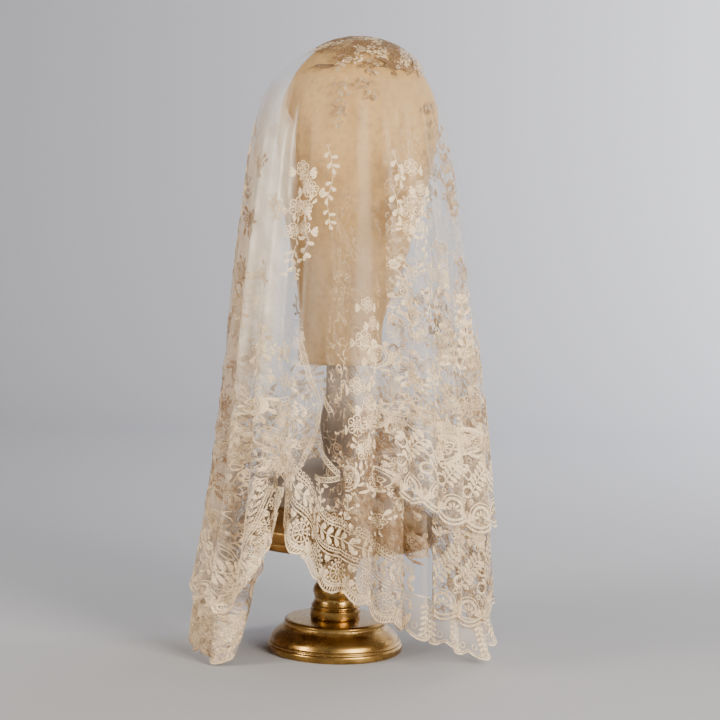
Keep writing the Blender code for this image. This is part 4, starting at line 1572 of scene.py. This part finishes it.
def wrap_tree():
    tree = bpy.data.node_groups.new("wrap_lace", "GeometryNodeTree")
    interface(tree, "INPUT", WRAP_INPUTS)
    interface(tree, "OUTPUT", (("Lace", "Geometry"),))
    work = Tree(tree)
    entry = work.node("NodeGroupInput").outputs
    sheet = work.node("GeometryNodeObjectInfo", {"Object": entry["Sheet"]})

    def attribute(name, kind="FLOAT"):
        name = entry[name] if name in entry else name
        return work.node(
            "GeometryNodeInputNamedAttribute", {"Name": name}, data_type=kind
        ).outputs["Attribute"]

    def sample(kind, value, place):
        inputs = {
            "Mesh": sheet.outputs["Geometry"], "Value": value,
            "UV Map": attribute("Map", "FLOAT_VECTOR"), "Sample UV": place,
        }
        return work.node("GeometryNodeSampleUVSurface", inputs, data_type=kind)

    motifs = work.node("GeometryNodeCollectionInfo", {
        "Collection": entry["Motifs"], "Separate Children": True, "Reset Children": True,
    })
    spread = work.node("GeometryNodeInstanceOnPoints", {
        "Points": entry["Layout"], "Instance": motifs.outputs["Instances"],
        "Pick Instance": True, "Instance Index": attribute("kind", "INT"),
        "Rotation": work.combine(z=attribute("turn")),
        "Scale": work.combine(attribute("wide"), attribute("tall"), 1.0),
    })
    real = work.node("GeometryNodeRealizeInstances", {"Geometry": spread.outputs["Instances"]})

    place = work.node("GeometryNodeInputPosition").outputs[0]
    x, y, z = work.node("ShaderNodeSeparateXYZ", {0: place}).outputs
    tie = attribute("tie")
    narrow = sample("FLOAT", attribute("Drawing In"), work.combine(tie, y)).outputs["Value"]
    squeeze = work.math("MAXIMUM", narrow, LEAST_DRAW)
    aside = work.math("DIVIDE", work.math("SUBTRACT", x, tie), squeeze)
    is_tied = work.node("GeometryNodeSwitch", {
        "Switch": work.math("GREATER_THAN", tie, NO_TIE + 1.0),
        "False": x, "True": work.math("ADD", tie, aside),
    }, input_type="FLOAT")
    spot = work.combine(is_tied.outputs["Output"], y)
    normal = work.node("GeometryNodeInputNormal").outputs[0]
    ground = sample("FLOAT_VECTOR", place, spot)
    upwards = sample("FLOAT_VECTOR", normal, spot).outputs["Value"]

    off_cloth = work.node(
        "FunctionNodeBooleanMath", {0: ground.outputs["Is Valid"]}, operation="NOT"
    )
    trim = work.node("GeometryNodeDeleteGeometry", {
        "Geometry": real.outputs["Geometry"], "Selection": off_cloth.outputs[0],
    }, domain="POINT")
    lift = work.math("ADD", z, entry["Thread Lift"])
    raised = work.node("ShaderNodeVectorMath", {0: upwards, "Scale": lift}, operation="SCALE")
    landed = work.node(
        "ShaderNodeVectorMath", {0: ground.outputs["Value"], 1: raised.outputs[0]},
        operation="ADD",
    )
    move = work.node("GeometryNodeSetPosition", {
        "Geometry": trim.outputs["Geometry"], "Position": landed.outputs[0],
    })
    dress = work.node("GeometryNodeSetMaterial", {
        "Geometry": move.outputs["Geometry"], "Material": entry["Thread"],
    })
    work.node("NodeGroupOutput", {"Lace": dress.outputs["Geometry"]})
    return tree


lace_tree = wrap_tree()
print("the wrapping tree has", len(lace_tree.nodes), "nodes")

# %% [markdown]
# A modifier runs the tree on the layout's points. Its inputs are set by the sockets' own
# identifiers before the first evaluation. The layout's helper attributes are dropped at the
# end, and only the thread's tone stays, because the thread's finish reads it.

# %% Wrapping one layout
LAYOUT_LABELS = ("turn", "wide", "tall", "tie", "kind")


def wrap(name, layout, sheet, chart, thread):
    """Wraps one layout onto its sheet by one of its maps; returns the lace as a plain mesh."""
    points = layout.points(name + "_points")
    modifier = points.modifiers.new("wrap", "NODES")
    modifier.node_group = lace_tree
    given = {
        "Motifs": motif_set, "Sheet": sheet, "Thread Lift": THREAD_LIFT, "Thread": thread,
        "Map": chart, "Drawing In": chart + "_draw",
    }
    for socket in lace_tree.interface.items_tree:
        if socket.in_out == "INPUT" and socket.name in given:
            modifier[socket.identifier] = given[socket.name]
    points.data.update()
    graph = bpy.context.evaluated_depsgraph_get()
    mesh = bpy.data.meshes.new_from_object(points.evaluated_get(graph))
    mesh.name = name
    for label in [layer.name for layer in mesh.attributes if layer.name in LAYOUT_LABELS]:
        mesh.attributes.remove(mesh.attributes[label])
    points.modifiers.clear()
    bpy.data.objects.remove(points)
    mesh.calc_loop_triangles()
    print(name, "-", len(mesh.loop_triangles), "triangles")
    return add_object(name, mesh)


# %% [markdown]
# The head form is an egg on a round neck, covered with linen. A loft through rings does it: the
# rings' sizes run smoothly from the cut foot of the neck to the crown.

# %% The head form
FORM_RINGS = np.array((
    # height, centre x, half width, centre y, half depth
    (0.3070, -0.0020, 0.0440, 0.0000, 0.0440),
    (0.3415, -0.0015, 0.0435, 0.0000, 0.0440),
    (0.3825, 0.0025, 0.0505, -0.0020, 0.0490),
    (0.4170, 0.0060, 0.0590, -0.0040, 0.0580),
    (0.4620, 0.0065, 0.0700, -0.0050, 0.0700),
    (0.5070, 0.0090, 0.0795, -0.0050, 0.0800),
    (0.5305, 0.0105, 0.0825, -0.0050, 0.0840),
    (0.5536, 0.0120, 0.0835, -0.0040, 0.0850),
    (0.5740, 0.0125, 0.0815, -0.0030, 0.0830),
    (0.5920, 0.0125, 0.0755, -0.0020, 0.0770),
    (0.6090, 0.0122, 0.0665, -0.0010, 0.0680),
    (0.6240, 0.0120, 0.0545, 0.0000, 0.0560),
    (0.6350, 0.0120, 0.0410, 0.0000, 0.0420),
    (0.6430, 0.0120, 0.0230, 0.0000, 0.0235),
))
FORM_TOP = (0.0120, 0.0, 0.6470)
FOOT_ROUND, FOOT_SHARE = 2.0 * MM, 0.955
SHARPEST_SMOOTH = math.radians(50.0)


def finished(name, points, faces, finish):
    """A closed, smooth piece from points and faces, with its faces turned outwards."""
    work = bmesh.new()
    made = [work.verts.new(point) for point in points]
    for face in faces:
        work.faces.new([made[corner] for corner in face])
    bmesh.ops.recalc_face_normals(work, faces=work.faces)
    mesh = bpy.data.meshes.new(name)
    work.to_mesh(mesh)
    work.free()
    mesh.shade_smooth()
    mesh.set_sharp_from_angle(angle=SHARPEST_SMOOTH)
    mesh.materials.append(finish)
    print(name, "-", len(mesh.polygons), "faces")
    return add_object(name, mesh)


def ring_faces(rings, around):
    """Faces that join rings of points, with a cap below and a point on top."""
    faces = [tuple(range(around))[::-1]]
    for ring in range(rings - 1):
        for step in range(around):
            a, b = ring * around + step, ring * around + (step + 1) % around
            faces.append((a, b, b + around, a + around))
    last = (rings - 1) * around
    faces += [(last + k, last + (k + 1) % around, rings * around) for k in range(around)]
    return faces


def head_form(finish, rings=72, around=96):
    heights = FORM_RINGS[0, 0] + (FORM_RINGS[-1, 0] - FORM_RINGS[0, 0]) * np.linspace(0, 1, rings)
    sizes = [curve(FORM_RINGS[:, 0], FORM_RINGS[:, k], heights) for k in (1, 2, 3, 4)]
    turn = np.linspace(0.0, 2 * math.pi, around, endpoint=False)
    points = []
    for height, x, wide, y, deep in zip(heights, *sizes):
        points += [(x + wide * math.sin(a), y - deep * math.cos(a), height) for a in turn]
    foot = [(FOOT_SHARE * px, FOOT_SHARE * py, pz) for px, py, pz in points[:around]]
    points = foot + [(px, py, pz + FOOT_ROUND) for px, py, pz in points[:around]] + points[around:]
    points.append(FORM_TOP)
    return finished("linen_head_form", points, ring_faces(rings + 1, around), finish)


# %% [markdown]
# The stand is turned on a lathe, so each piece is a profile spun about the middle. A profile's
# row holds a radius, a height and how far its corner is rounded. The spin stores how convex
# each place is, and the metal is rubbed brighter there.

# %% The turned stand
BASE_PROFILE = (
    # radius, height, rounding
    (0.0710, 0.0000, 0.3), (0.0720, 0.0012, 0.6), (0.0720, 0.0065, 1.2), (0.0700, 0.0080, 0.5),
    (0.0708, 0.0098, 0.8), (0.0690, 0.0112, 0.6), (0.0675, 0.0160, 3.0), (0.0620, 0.0215, 4.0),
    (0.0560, 0.0255, 2.5), (0.0540, 0.0290, 0.8), (0.0545, 0.0318, 0.9), (0.0525, 0.0335, 0.6),
    (0.0500, 0.0340, 0.3),
)
COLLAR_PROFILE = (
    # radius, height, rounding
    (0.0262, 0.0343, 0.3), (0.0268, 0.0355, 0.5), (0.0268, 0.0440, 0.7), (0.0246, 0.0452, 0.4),
    (0.0265, 0.0472, 1.2), (0.0246, 0.0495, 0.5), (0.0222, 0.0545, 4.0), (0.0236, 0.0590, 2.2),
    (0.0247, 0.0635, 2.4), (0.0236, 0.0680, 2.2), (0.0205, 0.0720, 1.8), (0.0225, 0.0900, 9.0),
    (0.0330, 0.1080, 9.0), (0.0520, 0.1180, 1.0),
)
DISH_PROFILE = (
    # radius, height, rounding
    (0.1030, 0.1183, 0.4), (0.1050, 0.1200, 0.9), (0.1050, 0.1255, 0.8), (0.1036, 0.1268, 0.4),
    (0.1050, 0.1282, 0.8), (0.1050, 0.1380, 1.2), (0.1030, 0.1400, 1.0), (0.0960, 0.1480, 6.0),
    (0.0820, 0.1560, 2.0), (0.0790, 0.1597, 0.3),
)
SHOULDER_PROFILE = (
    # radius, height, rounding
    (0.0785, 0.1600, 0.5), (0.0720, 0.1680, 6.0), (0.0680, 0.1800, 6.0), (0.0620, 0.1920, 6.0),
    (0.0480, 0.1990, 6.0), (0.0300, 0.2020, 1.0),
)
STEM_PROFILE = (
    # radius, height, rounding
    (0.0175, 0.2023, 0.6), (0.0158, 0.2080, 2.5), (0.0175, 0.2200, 6.0), (0.0206, 0.2340, 6.0),
    (0.0210, 0.2430, 5.0), (0.0195, 0.2560, 5.0), (0.0164, 0.2670, 0.9), (0.0156, 0.2690, 0.9),
    (0.0156, 0.3067, 0.2),
)
CORNER_STEPS = 4
LONGEST_CUT = 0.42


def rounded(profile):
    """The profile with each corner turned into a short curve, and how convex each point is."""
    rows = np.array(profile)
    spots, rounding = rows[:, :2], rows[:, 2] * MM
    path, convex = [spots[0]], [0.5]
    for k in range(1, len(spots) - 1):
        back, ahead = spots[k - 1] - spots[k], spots[k + 1] - spots[k]
        reach_back, reach_ahead = np.linalg.norm(back), np.linalg.norm(ahead)
        bend = float(ahead[0] * back[1] - ahead[1] * back[0]) / (reach_back * reach_ahead)
        start = spots[k] + back * min(rounding[k] / reach_back, LONGEST_CUT)
        end = spots[k] + ahead * min(rounding[k] / reach_ahead, LONGEST_CUT)
        for share in np.linspace(0.0, 1.0, CORNER_STEPS + 1):
            inner = (1 - share) * start + share * spots[k]
            outer = (1 - share) * spots[k] + share * end
            path.append((1 - share) * inner + share * outer)
            convex.append(max(0.0, -bend) * 4 * share * (1 - share))
    path.append(spots[-1])
    convex.append(0.5)
    return path, convex


def turned(name, profile, finish, around=128):
    path, convex = rounded(profile)
    points, rub = [], []
    for (radius, height), share in zip(path, convex):
        for k in range(around):
            turn = 2 * math.pi * k / around
            points.append((radius * math.cos(turn), radius * math.sin(turn), height))
            rub.append(share)
    points.append((0.0, 0.0, path[-1][1]))
    rub.append(0.0)
    item = finished(name, points, ring_faces(len(path), around), finish)
    layer = item.data.attributes.new("rub", "FLOAT", "POINT")
    layer.data.foreach_set("value", np.array(rub, np.float32))
    return item


# %% [markdown]
# Finishes come next. Shared effects are shader node groups with named sockets. "fine weave"
# gives the crossing threads of a cloth on a map measured in metres, for the net and the linen.
# "turning marks" gives the faint rings that a lathe tool leaves, for metal and painted wood.
# "darned ground" gives the rosettes and vines that are darned into the net.

# %% Shared groups
HALF, ROOT = 0.5, 0.866
THREAD_EDGE = 8.0


def shader_group(name, inputs, outputs):
    group = bpy.data.node_groups.new(name, "ShaderNodeTree")
    interface(group, "INPUT", inputs)
    interface(group, "OUTPUT", outputs)
    work = Tree(group)
    return group, work, work.node("NodeGroupInput").outputs


def weave_group():
    """Two sets of threads that cross at 60 degrees; Threads is 1 on a thread, 0 in a hole."""
    group, work, entry = shader_group(
        "fine weave",
        (("Vector", "Vector"), ("Pitch", "Float", 0.001), ("Thread Share", "Float", 0.3)),
        (("Threads", "Float"), ("Height", "Float")),
    )
    x, y, _ = work.node("ShaderNodeSeparateXYZ", {0: entry["Vector"]}).outputs
    per_metre = work.math("DIVIDE", 2 * math.pi, entry["Pitch"])
    waves = []
    for x_share, y_share in ((HALF, ROOT), (HALF, -ROOT)):
        across = work.math("MULTIPLY", x, x_share)
        up = work.math("MULTIPLY", y, y_share)
        phase = work.math("MULTIPLY", work.math("ADD", across, up), per_metre)
        waves.append(work.ramp(work.math("COSINE", phase), -1.0, 1.0))
    tall = work.math("MAXIMUM", *waves)
    over = work.math("SUBTRACT", tall, work.math("SUBTRACT", 1.0, entry["Thread Share"]))
    threads = work.math("MULTIPLY", over, THREAD_EDGE, clamp=True)
    work.node("NodeGroupOutput", {"Threads": threads, "Height": tall})
    return group


def turning_group():
    """Faint rings round the lathe's axis, with a little unevenness."""
    group, work, entry = shader_group(
        "turning marks",
        (("Vector", "Vector"), ("Fineness", "Float", 900.0)),
        (("Height", "Float"), ("Patches", "Float")),
    )
    height = work.node("ShaderNodeSeparateXYZ", {0: entry["Vector"]}).outputs[2]
    marks = work.noise(work.combine(z=height), entry["Fineness"], 3.0)
    patches = work.noise(entry["Vector"], 42.0, 5.0)
    work.node("NodeGroupOutput", {"Height": marks, "Patches": patches})
    return group


def darning_group():
    """Rosettes and curling vines darned into the net; Threads is 1 on the floss."""
    group, work, entry = shader_group(
        "darned ground", (("Vector", "Vector"),), (("Threads", "Float"),)
    )
    sway = work.node("ShaderNodeTexNoise", {"Vector": entry["Vector"], "Scale": 70.0})
    shift = work.node(
        "ShaderNodeVectorMath", {0: sway.outputs["Color"], "Scale": 0.010}, operation="SCALE"
    )
    bent = work.node(
        "ShaderNodeVectorMath", {0: entry["Vector"], 1: shift.outputs[0]}, operation="ADD"
    ).outputs[0]
    away = work.node("ShaderNodeTexVoronoi", {"Vector": bent, "Scale": 52.0}).outputs["Distance"]
    rings = work.math("COSINE", work.math("MULTIPLY", away, 38.0))
    flower = work.ramp(away, 0.42, 0.36)
    rosette = work.math("MULTIPLY", work.ramp(rings, 0.0, 0.5), flower, clamp=True)
    curl = work.noise(bent, 95.0, 1.0)
    vine = work.ramp(work.math("ABSOLUTE", work.math("SUBTRACT", curl, 0.5)), 0.035, 0.015)
    work.node("NodeGroupOutput", {"Threads": work.math("MAXIMUM", rosette, vine, clamp=True)})
    return group


fine_weave = weave_group()
darned_ground = darning_group()
turning_marks = turning_group()


def new_finish(name, **values):
    """An empty finish with a Principled shader, and the helper that wires it."""
    found = bpy.data.materials.new(name)
    found.use_nodes = True
    shader = found.node_tree.nodes["Principled BSDF"]
    for label, value in values.items():
        shader.inputs[label.replace("_", " ")].default_value = value
    return found, Tree(found.node_tree), shader


print("shared groups:", [group.name for group in (fine_weave, darned_ground, turning_marks)])

# %% [markdown]
# Net is mostly holes, so its finish is see-through: the alpha is high on the threads and low in
# the holes between them. Where a fold is creased, or the net is gathered, it hides more. The
# darned ground lies over that, in a floss that is browner in places, partly yellowed cotton and
# partly painted shade. The raised thread has painted shade between its stitches and wears a
# little thin.

# %% Net and thread
NET_PITCH = 1.3 * MM
NET_THREAD_SHARE, NET_THREAD_ALPHA = 0.16, 0.07
NET_CREASE_ALPHA = 0.26
DARNING_ALPHA = 0.85
NET_WHITE, NET_CREAM, NET_TAN_AND_SHADE = (0.92, 0.80, 0.64), (1.0, 0.93, 0.82), (0.40, 0.28, 0.18)
FLOSS_LIGHT, FLOSS_DARK = (0.84, 0.60, 0.34), (0.18, 0.10, 0.043)
THREAD_LIGHT, THREAD_DARK = (1.0, 0.79, 0.51), (0.22, 0.12, 0.05)
STITCH_GAP_SHADE = (0.20, 0.12, 0.06)


def net_finish():
    found, work, shader = new_finish(
        "veil_net", Roughness=0.75, Sheen_Weight=0.3, Sheen_Roughness=0.35,
        Sheen_Tint=(1.0, 0.88, 0.70, 1.0),
    )
    chart = work.node("ShaderNodeUVMap", uv_map="flat").outputs[0]
    weave = work.node(
        "ShaderNodeGroup",
        {"Vector": chart, "Pitch": NET_PITCH, "Thread Share": NET_THREAD_SHARE},
        node_tree=fine_weave,
    )
    uneven = work.noise(chart, 28.0, 3.0)
    creased = work.math("MULTIPLY", work.attribute("crease"), NET_CREASE_ALPHA)
    hole = work.math("ADD", work.attribute("dense"), creased)
    hole = work.math("MULTIPLY", hole, work.ramp(uneven, 0.3, 0.7, 0.7, 1.3))
    mesh_alpha = work.math("MULTIPLY", weave.outputs["Threads"], NET_THREAD_ALPHA)
    alpha = work.math("ADD", hole, mesh_alpha)
    darning = work.node("ShaderNodeGroup", {"Vector": chart}, node_tree=darned_ground)
    worked = work.math("MULTIPLY", darning.outputs["Threads"], work.attribute("darning"))
    alpha = work.math("MAXIMUM", alpha, work.math("MULTIPLY", worked, DARNING_ALPHA))
    # The brown tone is partly yellowed cotton and partly painted shade, on the net and its floss
    # alike.
    tan_and_shade = work.attribute("tan_and_shade")
    plain = work.mix(uneven, NET_WHITE, NET_CREAM)
    plain = work.mix(work.math("MULTIPLY", tan_and_shade, 0.85), plain, NET_TAN_AND_SHADE)
    # The floss darkens at random and where the brown tone is high, which includes painted shade.
    dark = work.ramp(work.noise(chart, 60.0, 2.0), 0.40, 0.60, -0.45, 0.55)
    dark = work.math("ADD", dark, work.math("MULTIPLY", tan_and_shade, 0.7), clamp=True)
    floss = work.mix(dark, FLOSS_LIGHT, FLOSS_DARK)
    work.fill(shader, {"Alpha": alpha, "Base Color": work.mix(worked, plain, floss)})
    return found


def thread_finish():
    found, work, shader = new_finish(
        "lace_thread", Roughness=0.55, Sheen_Weight=0.25, Sheen_Roughness=0.3,
        Sheen_Tint=(1.0, 0.84, 0.62, 1.0),
    )
    place = work.node("ShaderNodeTexCoord").outputs["Object"]
    uneven = work.ramp(work.noise(place, 120.0, 3.0), 0.3, 0.7, -0.25, 0.25)
    # The thread's tone carries the net's brown, partly yellowing and partly painted shade.
    share = work.math("ADD", work.attribute("tone"), uneven, clamp=True)
    color = work.mix(share, THREAD_LIGHT, THREAD_DARK)
    # Patches between the stitches are painted darker: painted shade in the gaps of the thread.
    stitches = work.ramp(work.noise(place, 850.0, 2.0), 0.38, 0.58)
    color = work.mix(stitches, work.mix(0.42, color, STITCH_GAP_SHADE), color)
    alpha = work.ramp(work.noise(place, 1300.0, 1.0), 0.34, 0.44, 0.40, 1.0)
    bump = work.bump(work.noise(place, 2600.0, 2.0), 0.5, 0.0002)
    work.fill(shader, {"Alpha": alpha, "Base Color": color, "Normal": bump})
    return found


net = net_finish()
thread = thread_finish()
print("finishes of the cloth:", net.name, thread.name)

# %% [markdown]
# Linen has a plain weave and thicker threads here and there. Gold leaf and lacquer on turned
# metal are smooth with faint rings, duller in patches and rubbed bright on the edges.

# %% Linen, metal and painted wood
LINEN_RADIUS = 0.075
LINEN_PITCH = 0.9 * MM
LINEN_DARK, LINEN_LIGHT = (0.46, 0.26, 0.080), (0.60, 0.375, 0.135)
LINEN_SLUB = (0.40, 0.235, 0.09)


def linen_finish():
    found, work, shader = new_finish(
        "form_linen", Roughness=0.85, Sheen_Weight=0.2, Sheen_Tint=(1.0, 0.84, 0.62, 1.0)
    )
    place = work.node("ShaderNodeTexCoord").outputs["Object"]
    x, y, z = work.node("ShaderNodeSeparateXYZ", {0: place}).outputs
    round_it = work.math("MULTIPLY", work.math("ARCTAN2", x, y), LINEN_RADIUS)
    weave = work.node(
        "ShaderNodeGroup",
        {"Vector": work.combine(round_it, z), "Pitch": LINEN_PITCH, "Thread Share": 0.5},
        node_tree=fine_weave,
    )
    slub = work.noise(place, 160.0, 4.0)
    color = work.mix(work.noise(place, 9.0, 3.0), LINEN_DARK, LINEN_LIGHT)
    color = work.mix(work.ramp(slub, 0.45, 0.75), color, LINEN_SLUB)
    bump = work.bump(work.math("ADD", weave.outputs["Height"], slub), 0.35, 0.0003)
    work.fill(shader, {"Base Color": color, "Normal": bump})
    return found


def turned_finish(name, dark, light, rubbed, metallic, roughness, depth):
    """A turned and coated piece; roughness is (least, most), depth the marks' in metres."""
    found, work, shader = new_finish(name, Metallic=metallic)
    place = work.node("ShaderNodeTexCoord").outputs["Object"]
    marks = work.node("ShaderNodeGroup", {"Vector": place}, node_tree=turning_marks).outputs
    worn = work.ramp(work.noise(place, 300.0), 0.35, 0.6)
    worn = work.math("MULTIPLY", work.attribute("rub"), worn, clamp=True)
    color = work.mix(work.ramp(marks["Patches"], 0.35, 0.65), dark, light)
    work.fill(shader, {
        "Base Color": work.mix(worn, color, rubbed),
        "Roughness": work.ramp(marks["Patches"], 0.3, 0.7, *roughness),
        "Normal": work.bump(marks["Height"], 0.6, depth),
    })
    return found


linen = linen_finish()
gold = turned_finish(
    "stand_gold", dark=(0.24, 0.13, 0.035), light=(0.44, 0.265, 0.08),
    rubbed=(0.84, 0.60, 0.26), metallic=1.0, roughness=(0.20, 0.34), depth=0.0003,
)
bronze = turned_finish(
    "dish_bronze", dark=(0.20, 0.11, 0.035), light=(0.34, 0.20, 0.07),
    rubbed=(0.56, 0.37, 0.14), metallic=0.95, roughness=(0.28, 0.44), depth=0.0003,
)
taupe = turned_finish(
    "stem_taupe_paint", dark=(0.17, 0.135, 0.115), light=(0.22, 0.18, 0.155),
    rubbed=(0.34, 0.28, 0.23), metallic=0.0, roughness=(0.38, 0.52), depth=0.0002,
)
print("finishes of the form and stand:", [f.name for f in (linen, gold, bronze, taupe)])

# %% [markdown]
# Now every piece is made and rides on the one body, and the solids that it stands for are hidden.
# The sheets of net are given the net's finish.

# %% Make the form and the stand
solids = (
    # piece, slot, node
    (head_form(linen), "linen", "head_form"),
    (turned("gold_base", BASE_PROFILE, gold), "gold", "stand_base"),
    (turned("gold_collar", COLLAR_PROFILE, gold), "gold", "stand_collar"),
    (turned("bronze_dish", DISH_PROFILE, bronze), "bronze", "stand_dish"),
    (turned("taupe_shoulder", SHOULDER_PROFILE, taupe), "taupe", "stand_shoulder"),
    (turned("taupe_stem", STEM_PROFILE, taupe), "taupe", "stand_stem"),
)
for piece, slot, node in solids:
    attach(piece, "root")
    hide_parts(node)

laces = {}
for name, sheet, chart, layout in layouts:
    lace = wrap(name, layout, sheets[sheet], chart, thread)
    laces.setdefault(sheet, []).append(lace)
    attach(lace, "root")

SHEETS = (
    # sheet, solids that it stands for, what it rests on
    (
        "veil_long_tier", ("long_front", "long_right", "long_back", "long_left"),
        "linen_head_form",
    ),
    ("veil_short_tier", ("short_right", "short_back", "short_left"), "veil_long_tier"),
    ("veil_turned_corner", ("underlay_right",), "veil_long_tier"),
    ("veil_crown", ("crown_cap",), "linen_head_form"),
)

for name, nodes, under in SHEETS:
    piece = sheets[name]
    piece.data.materials.append(net)
    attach(piece, "root")
    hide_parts(*nodes)
